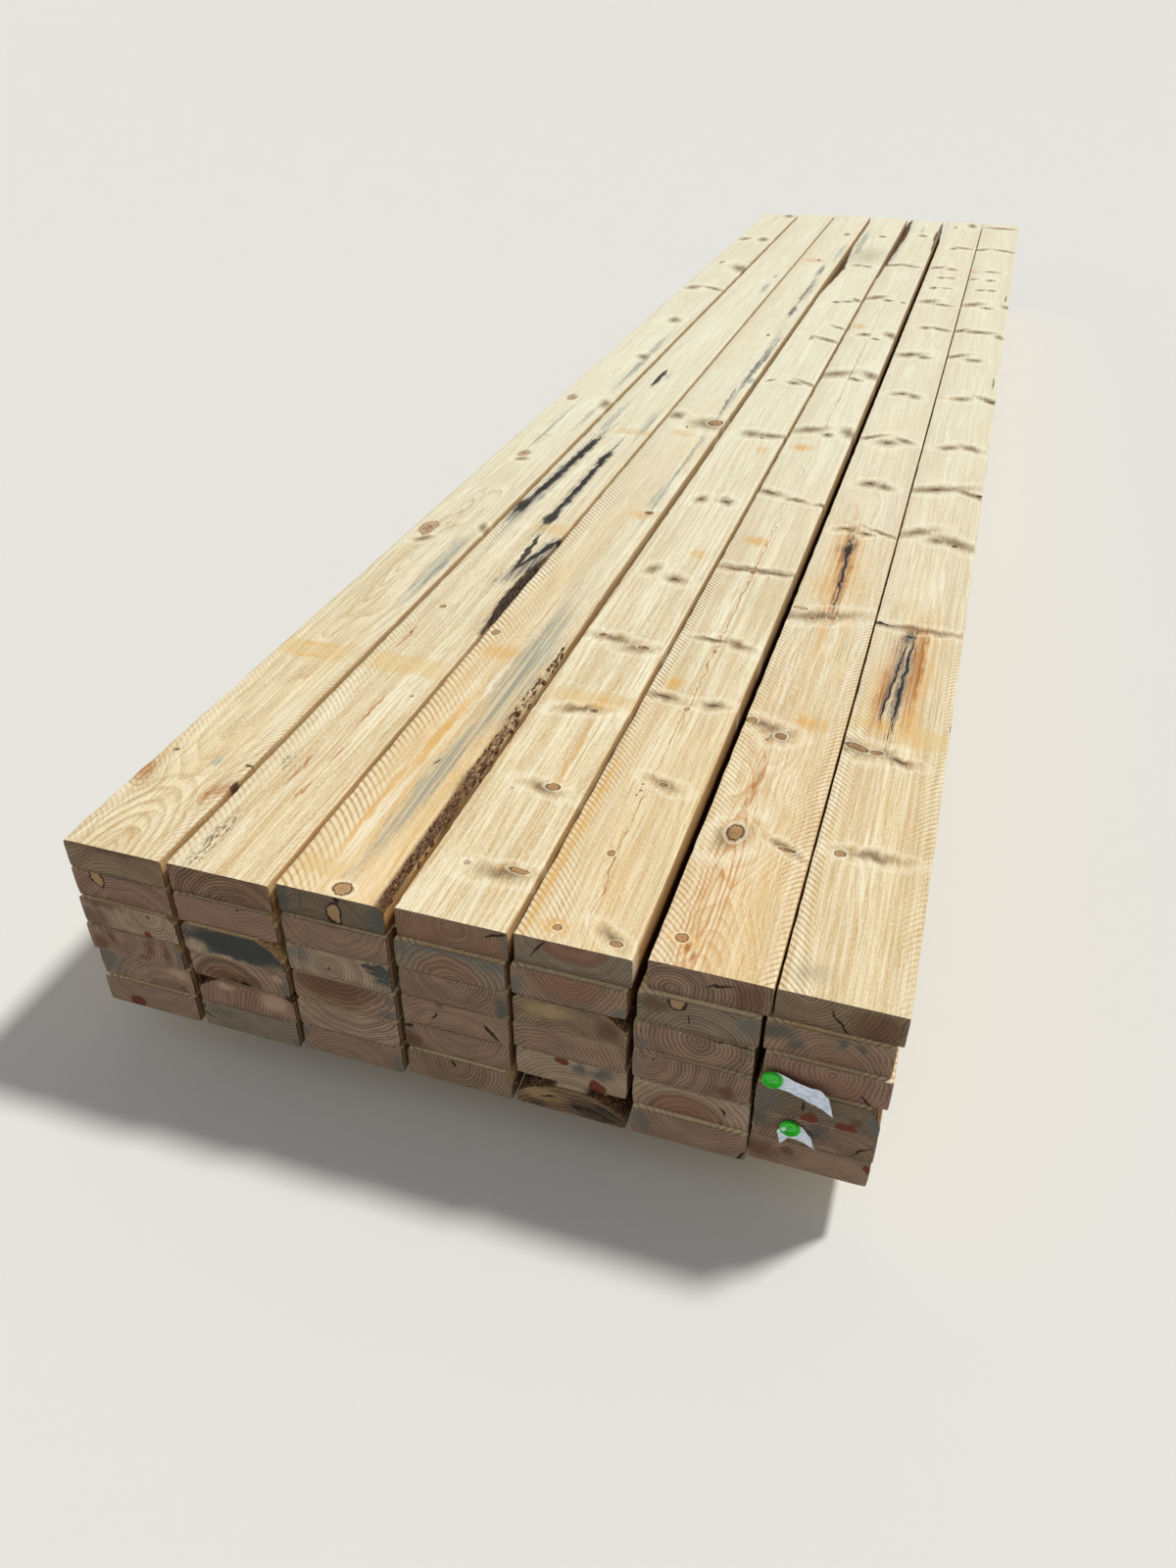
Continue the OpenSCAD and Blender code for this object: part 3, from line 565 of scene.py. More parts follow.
# Torn edges of the two films, from the cap's middle: across and up at the top edge, the same at the
# bottom edge, and how far each edge stands off the board
FILMS = {
    "upper": [
        (-7.4, 5, -7.4, -8, 0.3, 0.3), (4.5, 12.6, 3, -13, 0.3, 0.3), (18.5, 8, 13.5, -14, 0.6, 1.5),
        (33.5, 3, 36.5, -15, 1.5, 5.0), (47, 2.4, 49.5, -17, 2.5, 9.0), (61.5, 2, 63.5, -19, 4.0, 12.0),
        (68, -4, 76.5, -26, 7.0, 15.0)],
    "lower": [
        (-15, -6, -9, -23.4, 5.0, 9.0), (-4, 5, -1, -17.7, 0.4, 2.0), (8, 7, 10, -16.5, 0.4, 2.5),
        (14, 6.3, 19, -15.7, 0.8, 5.0), (26, -3.7, 27, -17, 4.0, 8.0), (30, -14, 32.5, -18.5, 7.0, 9.5)],
}
# How far out the tips of splinters and the flakes of bark may reach
SPLINTER_X = 552.5
FLAKE_X = 551.0


# Materials of the boards

def board_space(g, corner, layer, row):
    """Millimetres from the middle of the board's front end, the same moved elsewhere for each board's noise,
    and the board's own number."""
    local = g.millimetres(corner)
    seed = layer * 17.3 + row * 5.1
    return local, g.vector("ADD", local, (seed * 31, seed * 57, seed * 13)), seed


def lay_marks(g, base, height, marks, table, torn, vein=None):
    """Lays the marks over the base colour and presses the deep ones into the surface."""
    for kind, away in marks.items():
        colour, most, start, stop, streak, depth = table[kind]
        cover = g.fall(g.fma(torn, streak, away), start, stop, most)
        if kind in STREAKED:
            cover = g.mul(cover, g.ramp(vein, 0.38, 0.6, STREAKED[kind], 1.0))
        base = g.mix(cover, base, colour)
        if kind == "red_knot":
            ripple = g.rise(g.math("PINGPONG", away, 0.16), 0.03, 0.15, 0.5)
            base = g.mix(g.mul(ripple, g.fall(away, 0.9, 1.05)), base, "7a422e")
        if depth:
            height = g.sub(height, g.fall(away, start, stop, depth))
    return base, height


def saw_marks(g, x, y, patches, left, right, spacing):
    """Strokes of the saw, which curve in from both edges towards the front. Negative between the strokes."""
    strokes = []
    for strength, distance in ((left, g.add(x, BOARD_W / 2)), (right, g.sub(BOARD_W / 2, x))):
        if strength:
            lean = g.math("POWER", g.math("MAXIMUM", distance, 0.01), 1.25)
            wave = g.math("PINGPONG", g.fma(lean, 0.42, y), spacing / 2)
            line = g.ramp(g.fma(patches, 0.1 * spacing, wave), 0.1 * spacing, 0.36 * spacing, 0.8, -0.3)
            strokes.append(g.mul(line, g.fall(g.fma(patches, 110.0, distance), 55.0, 105.0, strength)))
    return functools.reduce(g.add, strokes)


def knot_rings(g, face, marks, grit, broken):
    """The cores and borders of whorls, scars and knots."""
    if "shade" in marks:
        core = g.add(broken, marks["shade"])
        face = g.mix(g.fall(core, 0.0, 0.6, 0.5), face, "705036")
        face = g.mix(g.line(core, 1.9, 0.1, 0.55, 0.3), face, "fef7de")
    if "scar" in marks:
        turn = g.math("PINGPONG", g.fma(broken, 0.15, marks["scar"]), 0.3)
        rim = g.mul(g.rise(turn, 0.14, 0.28, 0.6), g.fall(marks["scar"], 1.0, 1.5))
        face = g.mix(rim, face, "805838")
    if "knot" in marks:
        knot = marks["knot"]
        inner = g.rise(g.math("PINGPONG", g.fma(grit, 0.3, knot), 0.22), 0.06, 0.22, 0.38)
        face = g.mix(g.mul(inner, g.fall(knot, 0.9, 1.0)), face, "62422c")
        face = g.mix(g.fall(g.fma(grit, 0.4, knot), 0.35, 0.75, 0.28), face, "865836")
        face = g.mix(g.line(knot, 1.4, 0.05, 0.35, 0.45), face, "fceece")
        face = g.mix(g.line(g.fma(broken, 0.6, knot), 1.0, 0.05, 0.2, 0.85), face, "4e3222")
    return face


def side_knots(g, face, layer, row, x, y, z, grit, fibre):
    """Knots of their own on the outer sides of the stack."""
    rng = random.Random(layer * 50 + row)
    places = []
    at = rng.uniform(150, 500)
    while at < BOARD_L - 90:
        size = rng.uniform(2.5, 9.0)
        places.append((rng.uniform(-15, 15), at, size, size * rng.uniform(1.0, 1.5)))
        at += rng.uniform(60, 160) if rng.random() < 0.12 else rng.uniform(350, 1100)
    away = g.along(g.fma(grit, 6.0, z), g.fma(fibre, 6.0, y), places, 0.0)
    outer = g.ramp(x, -74.0, -74.6) if row == 1 else g.ramp(x, 74.0, 74.6)
    for cover, colour in (
            (g.fall(away, 0.6, 3.2, 0.7), "c49e68"),
            (g.fall(away, 0.85, 1.05, 0.9), "a4764a"),
            (g.line(away, 0.95, 0.05, 0.25, 0.9), "503626")):
        face = g.mix(g.mul(outer, cover), face, colour)
    return face


def face_wood(name, corner, layer, row):
    """The long faces of one board. The rings are cylinders round its pith, cut by the faces."""
    top = layer == 1
    end = ENDS[(layer, row)]
    look = dict(PLAIN_TOP, **TOPS[row]) if top else PLAIN_TOP
    g = Graph(name)
    local, shifted, seed = board_space(g, corner, layer, row)
    x, y, z = g.split(local)
    slow = g.noise(shifted, (0.012, 0.0016, 0.012), 1.0)
    slower = g.noise(shifted, (0.02, 0.004, 0.02), 1.0)
    vein = g.noise(shifted, (0.17, 0.0028, 0.17), 2.0, 0.6)
    fibre = g.noise(shifted, (0.55, 0.011, 0.55), 2.0, 0.75)
    grit = g.noise(shifted, (0.4, 0.16, 0.4), 3.0, 0.8)
    broken = g.fma(fibre, 1.5, g.fma(grit, 0.5, -1.0))

    # Marks, with uneven edges
    marks = {}
    if top:
        uneven = g.colour_noise(shifted, (0.05, 0.03, 0.05))
        flat = g.combine(x, y, 0.0)
        on_face = g.vector("MULTIPLY_ADD", uneven, (14, 24, 0), flat)
        near_face = g.vector("MULTIPLY_ADD", uneven, (5, 6, 0), flat)
        for kind in FACE_MARKS:
            if kind in look:
                on = near_face if kind in CLEAR_KINDS else on_face
                lean = LEANS.get(kind, 0.0)
                boxed = kind == "sticker"
                marks[kind] = g.boxes(on, look[kind]) if boxed else g.nearest(on, look[kind], lean)

    # Rings, which bend round the knots
    bend = 0.0
    for kind, fall, push in (("knot", -0.22, 14.0), ("shade", -0.5, 7.0)):
        if kind in marks:
            bend = g.fma(g.bell(marks[kind], fall), push, bend)
    pith_x, pith_z = look["pith"] if top else end["pith"]
    across = g.add(g.sub(x, pith_x), g.fma(slow, 60.0, -30.0))
    up = g.add(g.sub(z, pith_z), g.fma(slower, 16.0, -8.0))
    radius = g.add(g.vector("LENGTH", g.combine(across, up, 0.0)), bend)
    for at, half_length, rise in look.get("arch", ()):
        radius = g.fma(g.bell(g.div(g.sub(y, at), half_length), -1.0), rise, radius)
    turns = g.div(g.fma(y, 0.004, radius), look["gap"])
    ring = g.math("POWER", g.math("FRACT", turns), 2.0)
    band = g.noise(g.combine(turns, g.mul(y, 0.0006), seed), (0.45, 1.0, 1.0), 1.0)
    ring_strength = g.mul(ring, g.ramp(band, 0.3, 0.65, 0.4 * look["rings"], 1.0))
    face = g.tint(
        g.mix(ring_strength, EARLY, look["late"]),
        (slow, 0.36, 0.62, look["warm"], WARM),
        (slower, 0.48, 0.68, 0.6, "ded0ac"),
        (slower, 0.5, 0.34, 0.45, "fffae0"),
        (band, 0.42, 0.7, 0.55, "d0b07e"),
        (vein, 0.5, 0.68, 0.45, "ceac7a"),
        (vein, 0.5, 0.34, 0.45, "fcf5de"),
        (fibre, 0.48, 0.68, 0.7, "ba9664"),
        (grit, 0.48, 0.34, 0.3, "c8aa7a"),
        (grit, 0.52, 0.66, 0.55, "fef9e8"))
    if not top:
        face = g.mix(0.55, face, random.Random(layer * 11 + row).choice(BOARD_TINTS))
    face = g.mix(g.fall(y, 0.0, 900.0, look["amber"]), face, "ecbe76")
    # Painted glare: each long face grows paler towards its far end
    face = g.mix(g.rise(y, 100.0, 2400.0, 0.55), face, PAINTED_GLARE)

    # The end's tone on the last millimetres, partly the end grain's own colour on the worn edge and partly
    # painted shade in the seams between layers; on the top layer it keeps off the top face
    near_end = g.ramp(g.least([y, g.sub(BOARD_L, y)]), 4.5, 0.6)
    if top:
        near_end = g.mul(near_end, g.ramp(z, 22.5, 20.0))
    face = g.mix(g.mul(near_end, 0.9), face, TONES[end["tone"]])
    # Painted light: the sides take a warmer, darker tone of the sunlight on them
    on_side = g.ramp(g.math("ABSOLUTE", x), 73.6, 74.4)
    face = g.mix(on_side, face, g.mix(0.8, face, "e6cca6", "MULTIPLY"))
    # Painted shade: the sides facing into the gaps between rows darken, the top layer's more towards its
    # bottom, and layers from the third down take a darker colour
    inner = g.ramp(x, -1.0, 1.0) if row == 1 else g.ramp(x, 1.0, -1.0) if row == ROWS else 1.0
    gap_shade_share = g.mul(on_side, inner)
    shaded = "967454" if layer < 3 else "765c48"
    depth = g.ramp(z, 22.0, -18.0, 0.1, 0.85) if top else 0.85
    face = g.mix(g.mul(gap_shade_share, depth), face, g.mix(1.0, face, shaded, "MULTIPLY"))

    height = g.fma(grit, 0.6, g.mul(fibre, 0.6))
    left, right, spacing = look["hatch"]
    if left or right:
        strokes = saw_marks(g, x, y, slower, left, right, spacing)
        strokes = g.mul(strokes, g.fma(on_side, -0.7, 1.0))
        # Painted shade in the saw strokes' dips and painted light on the ridges between them
        face = g.mix(g.math("MAXIMUM", strokes, 0.0), face, "9e7644")
        face = g.mix(g.math("MAXIMUM", g.mul(strokes, -2.0), 0.0), face, "fcf3d8")
        height = g.sub(height, g.mul(strokes, 0.7))

    for place, lines, most in look.get("flame", ()):
        away = g.fma(broken, 0.12, g.spots(near_face, [place]))
        line = g.rise(g.math("FRACT", g.mul(away, lines)), 0.5, 0.95, most)
        line = g.mul(line, g.fall(away, 1.0, 1.5))
        face = g.mix(g.mul(line, g.sub(1.0, on_side)), face, look["late"])
    face, height = lay_marks(g, face, height, marks, FACE_MARKS, broken, vein)
    face = knot_rings(g, face, marks, grit, broken)
    if "mould" in look:
        area = g.fall(g.spots(on_face, look["mould"]), 0.3, 1.2)
        speck = g.ramp(g.noise(shifted, (0.3, 0.08, 0.3), 3.0, 0.8), 0.51, 0.58)
        face = g.mix(g.mul(area, speck), face, "46423e")
    if row in (1, ROWS):
        face = side_knots(g, face, layer, row, x, y, z, grit, fibre)

    # Round edges of the log, with bark
    if (layer, row) in WANES:
        wane = g.node("ShaderNodeAttribute", attribute_name="wane").outputs["Fac"]
        scales = g.noise(shifted, (0.2, 0.05, 0.2), 3.0, 0.75)
        deep, mid, pale = BARKS[BARK_OF.get((layer, row), "brown")]
        bark = g.tint(g.mix(g.ramp(scales, 0.38, 0.56), deep, mid), (grit, 0.48, 0.66, 0.7, pale))
        if (layer, row) == (1, 3):
            wane = g.mul(wane, g.ramp(g.fma(scales, 900.0, y), 720.0, 1100.0, 1.0, 0.1))
        face = g.mix(wane, face, bark)
        height = g.fma(g.mul(wane, scales), 4.0, height)
    return g.finish(face, 0.78, height, 0.7, 0.25)


def end_wood(name, corner, layer, row):
    """The two sawn ends of one board."""
    end = ENDS[(layer, row)]
    contrast = end["contrast"]
    g = Graph(name)
    local, shifted, seed = board_space(g, corner, layer, row)
    x, y, z = g.split(local)
    warp = g.split(g.colour_noise(shifted, (0.07, 0.0, 0.07), 2.0))
    flat = g.vector("MULTIPLY_ADD", g.combine(warp[0], warp[1], 0.0), (16, 16, 0), g.combine(x, z, 0.0))
    soft = g.colour_noise(shifted, (0.03, 0.0, 0.03))
    soft = g.vector("MULTIPLY_ADD", soft, (12, 0, 12), g.combine(x, 0.0, z))
    pith_x, pith_z = end["pith"]
    radius = g.vector("LENGTH", g.vector("SUBTRACT", soft, (pith_x, 0, pith_z)))
    turns = g.div(radius, end["gap"] * 1.4)
    within = g.math("FRACT", turns)
    ring = g.math("POWER", within, 2.6)
    zone = g.noise(shifted, (0.03, 0.0, 0.05), 1.0)
    strength = g.mul(g.mul(ring, g.ramp(zone, 0.3, 0.6, 0.6, 1.0)), min(1.0, 0.4 + contrast))
    tone = TONES[end["tone"]]
    heart_radius, heart_tone, *heart_line = end.get("heart", (0, "tan"))
    if heart_radius:
        tone = g.mix(g.ramp(radius, heart_radius - 2.0, heart_radius + 2.0), TONES[heart_tone], tone)
    dark_tone = g.mix(1.0, tone, "685446", "MULTIPLY")
    band = g.noise(g.combine(turns, seed, 0.0), (0.4, 1.0, 1.0), 1.0)
    grain = g.tint(
        tone,
        (band, 0.4, 0.62, 0.12 + 0.4 * contrast, dark_tone),
        (within, 0.45, 0.1, 0.1 + 0.2 * contrast, "c0a688"))
    grain = g.mix(strength, grain, dark_tone)
    for most in heart_line:
        grain = g.mix(g.line(radius, heart_radius, 0.8, 2.4, most), grain, "3a281c")
    scratch = g.noise(g.vector("ADD", flat, (seed, seed * 3, 0)), (0.22, 0.9, 1.0), 3.0, 0.75)
    grain = g.tint(
        grain,
        (scratch, 0.45, 0.72, 0.35, "ac947a"),
        (scratch, 0.48, 0.3, 0.4, "544032"),
        (zone, 0.4, 0.75, 0.2, "6a5846"))
    height = g.fma(scratch, 0.7, g.mul(ring, 0.3))
    marks = {kind: g.spots(flat, end[kind]) for kind in end if kind in END_MARKS}
    grain, height = lay_marks(g, grain, height, marks, END_MARKS, g.fma(scratch, 2.0, -1.0))
    if "ring_knot" in end:
        away = g.spots(flat, end["ring_knot"])
        grain = g.mix(g.fall(away, 0.8, 0.95, 0.8), grain, "a88660")
        grain = g.mix(g.line(away, 0.95, 0.07, 0.2, 0.95), grain, "2e2018")
    return g.finish(grain, 0.82, height, 0.6, 0.2)


# Other materials

def bearer_material():
    """Older, greyer wood with its fibres across the stack."""
    g = Graph("bearer_wood")
    coords = g.millimetres()
    fibre = g.noise(coords, (0.014, 0.4, 0.4), 3.0, 0.7)
    patch = g.noise(coords, (0.004, 0.02, 0.02), 2.0)
    wood = g.mix(g.ramp(fibre, 0.35, 0.65), "c4a67a", "806446")
    wood = g.tint(wood, (patch, 0.4, 0.65, 0.6, "928878"))
    return g.finish(wood, 0.85, fibre, 0.8, 0.2)


def bark_material(tones):
    g = Graph("bark_" + tones)
    scales = g.noise(g.millimetres(), (0.3, 0.1, 0.3), 3.0, 0.75)
    deep, mid, pale = BARKS[tones]
    bark = g.tint(g.mix(g.ramp(scales, 0.38, 0.52), deep, mid), (scales, 0.54, 0.66, 0.6, pale))
    return g.finish(bark, 0.9, scales, 1.0, 0.15)


def cloudy_material(name, scale, detail, first, second, roughness, bump_mm):
    """A material of two close colours in soft patches that also press into it."""
    g = Graph(name)
    cloud = g.noise(g.millimetres(), scale, detail)
    return g.finish(g.mix(g.ramp(cloud, 0.35, 0.65), first, second), roughness, cloud, bump_mm, 0.5)


# Meshes

def board_name(layer, row):
    return f"board_layer_{layer}_row_{row}"


def box_mm(name):
    """The low and high corners of a node's box, in millimetres."""
    return [Vector(corner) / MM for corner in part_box(name)]


def wobble(seed, *place):
    return noise.noise(seed + Vector(place))


def bridge(bm, rings):
    """Faces between rings of as many points each, and round."""
    count = len(rings[0])
    for one, two in zip(rings, rings[1:]):
        for i in range(count):
            j = (i + 1) % count
            bm.faces.new((one[i], one[j], two[j], two[i]))


def add_piece(name, bm, slot, *materials, node=None, sharp=35):
    """A piece in the scene from a finished bmesh. It stays with the stack and can take a CAD node's place."""
    bmesh.ops.recalc_face_normals(bm, faces=bm.faces)
    mesh = bpy.data.meshes.new(name)
    bm.to_mesh(mesh)
    bm.free()
    if sharp:
        mesh.shade_smooth()
        mesh.set_sharp_from_angle(angle=math.radians(sharp))
    for material in materials:
        mesh.materials.append(material)
    piece = bpy.data.objects.new(name, mesh)
    bpy.context.scene.collection.objects.link(piece)
    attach(piece, "root")
    if node:
        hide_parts(node)


def log_circle(wane, y):
    """Middle and radius of the log's round at a distance along the board, from the board's middle."""
    side, wide, high, log_r, thin_at, run = wane
    wide, high, radius = wide * BOARD_W, high * BOARD_T, log_r * BOARD_W
    chord = math.hypot(wide, high)
    depth = math.sqrt(radius * radius - chord * chord / 4)
    away_x = -wide / 2 - depth * high / chord
    away_z = -high / 2 - depth * wide / chord
    slope = (math.hypot(away_x, away_z) - radius) / (run * BOARD_L)
    return side * (BOARD_W / 2 + away_x), BOARD_T / 2 + away_z, radius + slope * abs(y - thin_at * BOARD_L)


def outline(width, thick, step):
    """Points round the section, clockwise from the top left, with a point more on each worn corner."""
    counts = (max(4, round(width / step)), max(3, round(thick / step)))
    points = []
    for turn in range(4):
        long, short = (width / 2, thick / 2) if turn % 2 == 0 else (thick / 2, width / 2)
        start, count = ARRIS - long, counts[turn % 2]
        side = [(start - 2 * start * i / count, short) for i in range(count + 1)]
        side.append((long - ARRIS * 0.3, short - ARRIS * 0.3))
        for u, v in side:
            points.append(((u, v), (v, -u), (-u, -v), (-v, u))[turn])
    return points


def stations(length, step):
    """Distances along a board, closer together near its ends."""
    near = [0.0, 1.2, 3.0, 7.0, 14.0, 24.0]
    count = max(2, round((length - 2 * near[-1]) / step))
    middle = [near[-1] + (length - 2 * near[-1]) * i / count for i in range(1, count)]
    return near + middle + [length - n for n in reversed(near)]


def board_mesh(layer, row):
    """A rough sawn board inside the CAD board's box, with worn arrises and its round log edge."""
    name = board_name(layer, row)
    low, high = box_mm(name)
    middle = (low + high) / 2
    width, length, thick = high - low
    wane = WANES.get((layer, row))
    step, section_step = (16.0, 7.0) if layer == 1 or wane else (60.0, 14.0)
    seed = Vector((layer * 37.1, row * 91.7, layer * row * 3.3))
    ring = outline(width, thick, section_step)
    bm = bmesh.new()
    tag = bm.verts.layers.float.new("wane")
    rows = []
    for y in stations(length, step):
        verts = []
        from_end = min(y, length - y)
        for x, z in ring:
            nearer, farther = sorted((width / 2 - abs(x), thick / 2 - abs(z)))
            near_edge = max(0.0, 1.0 - farther / 6.0) if nearer < 1.5 else 0.0
            dip = 0.18 + 0.22 * wobble(seed, x * 0.02, y * 0.006, z * 0.03)
            place = seed + Vector((math.copysign(5, x), y * 0.035, math.copysign(9, z)))
            dip += near_edge * max(0.0, 0.5 + 1.3 * noise.fractal(place, 0.6, 2.1, 4))
            if from_end < 1.0:
                dip += near_edge * 0.5
            pull = Vector((-x, 0, -z * 2.5)).normalized()
            px, pz = x + pull.x * max(0.0, dip), z + pull.z * max(0.0, dip)
            off = 0.0
            if wane:
                cx, cz, radius = log_circle(wane, y)
                rough = 1.6 * noise.fractal(seed + Vector((x * 0.06, y * 0.02, z * 0.06)), 0.7, 2.2, 4)
                away = math.hypot(px - cx, pz - cz)
                if away > radius:
                    share = min(away, radius + max(-2.5, min(rough, 0.8))) / away
                    off = min(1.0, (away - radius) / 1.2)
                    px, pz = cx + (px - cx) * share, cz + (pz - cz) * share
            end_dip = 0.25 + 0.25 * wobble(seed, x * 0.08, y, z * 0.08) if from_end < 0.5 else 0.0
            py = y + (end_dip if y < length / 2 else -end_dip)
            vert = bm.verts.new((Vector((px, py - length / 2, pz)) + middle) * MM)
            vert[tag] = off
            verts.append(vert)
        rows.append(verts)
    bridge(bm, rows)
    for cap in (rows[0][::-1], rows[-1]):
        bm.faces.new(cap).material_index = 1
    corner = (middle.x * MM, low.y * MM, middle.z * MM)
    faces = face_wood("face_" + name, corner, layer, row)
    ends = end_wood("end_" + name, corner, layer, row)
    add_piece("wood_" + name, bm, "sawn_wood", faces, ends, node=name, sharp=32)


def bearer_mesh(name, material, seed):
    """A square bearer across the stack with worn edges and a groove along its underside."""
    low, high = box_mm(name)
    worn, lip = 1.6, 0.8
    soft = worn / 3
    half, tall, groove = (high.y - low.y) / 2, high.z - low.z, GROOVE_W / 2
    right = [(half - worn, tall), (half - soft, tall - soft), (half, tall - worn), (half, worn),
             (half - soft, soft), (half - worn, 0), (groove + lip, 0), (groove, lip), (groove, GROOVE_D)]
    section = right + [(-y, z) for y, z in reversed(right)]
    middle = (low.y + high.y) / 2
    bm = bmesh.new()
    rings = []
    for along in stations(high.x - low.x, 22.0):
        ring = []
        for y, z in section:
            rough = 0.25 + 0.25 * wobble(Vector(), along * 0.03, y * 0.2 + seed * 9, z * 0.2)
            inside = 0.0 if abs(y) <= groove + lip and z < GROOVE_D + 1 else rough
            py = y - math.copysign(inside, y)
            pz = z - inside if z > tall / 2 else z
            ring.append(bm.verts.new(Vector((low.x + along, middle + py, low.z + pz)) * MM))
        rings.append(ring)
    bridge(bm, rings)
    bm.faces.new(rings[0])
    bm.faces.new(rings[-1])
    bmesh.ops.triangulate(bm, faces=[face for face in bm.faces if len(face.verts) > 4])
    add_piece("old_" + name, bm, "bearer_wood", material, node=name)


def lathe(bm, middle, profile, segments=48):
    """Turns an outline of radius and distance forwards in millimetres round the front-to-back axis."""
    rings = []
    for radius, forwards in profile:
        ring = []
        for i in range(segments if radius else 1):
            angle = 2 * math.pi * i / segments
            place = Vector((radius * math.cos(angle), -forwards, radius * math.sin(angle)))
            ring.append(bm.verts.new((middle + place) * MM))
        rings.append(ring)
    for one, two in zip(rings, rings[1:]):
        for i in range(segments):
            j = (i + 1) % segments
            loop = [one[i % len(one)], one[j % len(one)], two[j % len(two)], two[i % len(two)]]
            bm.faces.new(list(dict.fromkeys(loop)))


def cap_mesh(name, plastic, steel):
    """A dished cap with a rounded rim, a ring and a boss, and the crown of its staple."""
    low, high = box_mm(name)
    rim = (high.x - low.x) / 2
    face = low.y + CAP_H
    middle = Vector(((low.x + high.x) / 2, face, (low.z + high.z) / 2))
    back = face - high.y
    bm = bmesh.new()
    edge = [(rim - inset, forwards) for inset, forwards in CAP_RIM]
    lathe(bm, middle, [(0, back), (4.0, back), (4.0, 0)] + edge + CAP_DISH)
    add_piece("moulded_" + name, bm, "cap_plastic", plastic, node=name)
    bm = bmesh.new()
    tilt = math.radians(24)
    sides = []
    for half in (-0.5, 0.5):
        side = []
        for x, forwards in STAPLE:
            turned = (x * math.cos(tilt) - half * math.sin(tilt), -forwards,
                      x * math.sin(tilt) + half * math.cos(tilt))
            side.append(bm.verts.new((middle + Vector(turned)) * MM))
        sides.append(side)
    bridge(bm, sides)
    bm.faces.new(sides[0])
    bm.faces.new(sides[1])
    add_piece("staple_" + name, bm, None, steel)


def film_mesh(name, which, cap_name, material):
    """A thin strip of torn film that lies on the board at its cap and lifts off towards its ends."""
    low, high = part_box(cap_name)
    cap_x, cap_z = (low[0] + high[0]) / 2 / MM, (low[2] + high[2]) / 2 / MM
    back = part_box(name)[1][1] / MM
    seed = Vector((cap_x * 0.1, 0, cap_z * 0.1))
    points = FILMS[which]
    between, across = 5, 9
    columns = []
    for one, two in zip(points, points[1:]):
        for step in range(between):
            columns.append([p + (q - p) * step / between for p, q in zip(one, two)])
    columns.append(points[-1])
    bm = bmesh.new()
    fronts, backs = [], []
    for top_x, top_z, bottom_x, bottom_z, top_lift, bottom_lift in columns:
        front, rear = [], []
        for i in range(across + 1):
            share = i / across
            x = top_x + (bottom_x - top_x) * share
            z = top_z + (bottom_z - top_z) * share
            lift = top_lift + (bottom_lift - top_lift) * share ** 1.6
            ragged = 0.5 if i in (0, across) else 0.0
            x += ragged * wobble(seed, x * 0.5, 3, z * 0.5)
            z += 1.6 * ragged * wobble(seed, x * 0.4, 8, z * 0.1)
            crease = wobble(seed, x * 0.09 + z * 0.05, 0, z * 0.16)
            lift = max(0.0, lift + min(lift, 2.5) * 0.9 * crease)
            for side, thick in ((front, FILM_T), (rear, 0.0)):
                side.append(bm.verts.new(Vector((cap_x + x, back - lift - thick, cap_z + z)) * MM))
        fronts.append(front)
        backs.append(rear)
    last = len(columns) - 1
    for c in range(last):
        for i in range(across):
            for side in (fronts, backs):
                bm.faces.new((side[c][i], side[c][i + 1], side[c + 1][i + 1], side[c + 1][i]))
        for i in (0, across):
            bm.faces.new((fronts[c][i], fronts[c + 1][i], backs[c + 1][i], backs[c][i]))
    for c in (0, last):
        for i in range(across):
            bm.faces.new((fronts[c][i], backs[c][i], backs[c][i + 1], fronts[c][i + 1]))
    add_piece("torn_" + name, bm, "wrap_film", material, node=name)


def blade(bm, root, tip, width, thick):
    """A tapering fibre with a square root, closed all round."""
    side = (tip - root).normalized().orthogonal().normalized()
    over = (tip - root).normalized().cross(side)
    corners = ((-1, -1), (1, -1), (1, 1), (-1, 1))
    base = [bm.verts.new((root + side * a * width / 2 + over * b * thick / 2) * MM) for a, b in corners]
    point = bm.verts.new(tip * MM)
    for i in range(4):
        bm.faces.new((base[i], base[(i + 1) % 4], point))
    bm.faces.new(base)


def splinters():
    """Fibres left by the saw along the edges of the boards' front and back ends."""
    rng = random.Random(5)
    material = Graph("splinter_wood").finish("e2c698", 0.8, specular=0.2)
    bm = bmesh.new()
    low_y, high_y = cad_bounds[0][1] / MM + 0.1, cad_bounds[1][1] / MM - 0.1
    for layer in range(1, LAYERS + 1):
        for row in range(1, ROWS + 1):
            low, high = box_mm(board_name(layer, row))
            for y, out in ((low.y, -1), (high.y, 1)):
                for i in range(rng.randint(9, 20)):
                    under = rng.random() < 0.75
                    sides = (low.x + 0.8, high.x - 0.8)
                    x = rng.uniform(low.x + 4, high.x - 4) if under else rng.choice(sides)
                    z = low.z + 0.9 if under else rng.uniform(low.z + 3, high.z - 3)
                    length = rng.uniform(1.5, 5.5)
                    root = Vector((x, y - out * 1.2, z))
                    lean = (rng.uniform(-0.5, 0.5), out * rng.uniform(0.3, 0.7), rng.uniform(-0.5, -0.1))
                    tip = root + Vector(lean).normalized() * length
                    tip.y = min(max(tip.y, low_y), high_y)
                    tip.x = min(max(tip.x, -SPLINTER_X), SPLINTER_X)
                    blade(bm, root, tip, rng.uniform(0.5, 1.1), rng.uniform(0.3, 0.6))
    add_piece("splinters", bm, "sawn_wood", material, sharp=None)


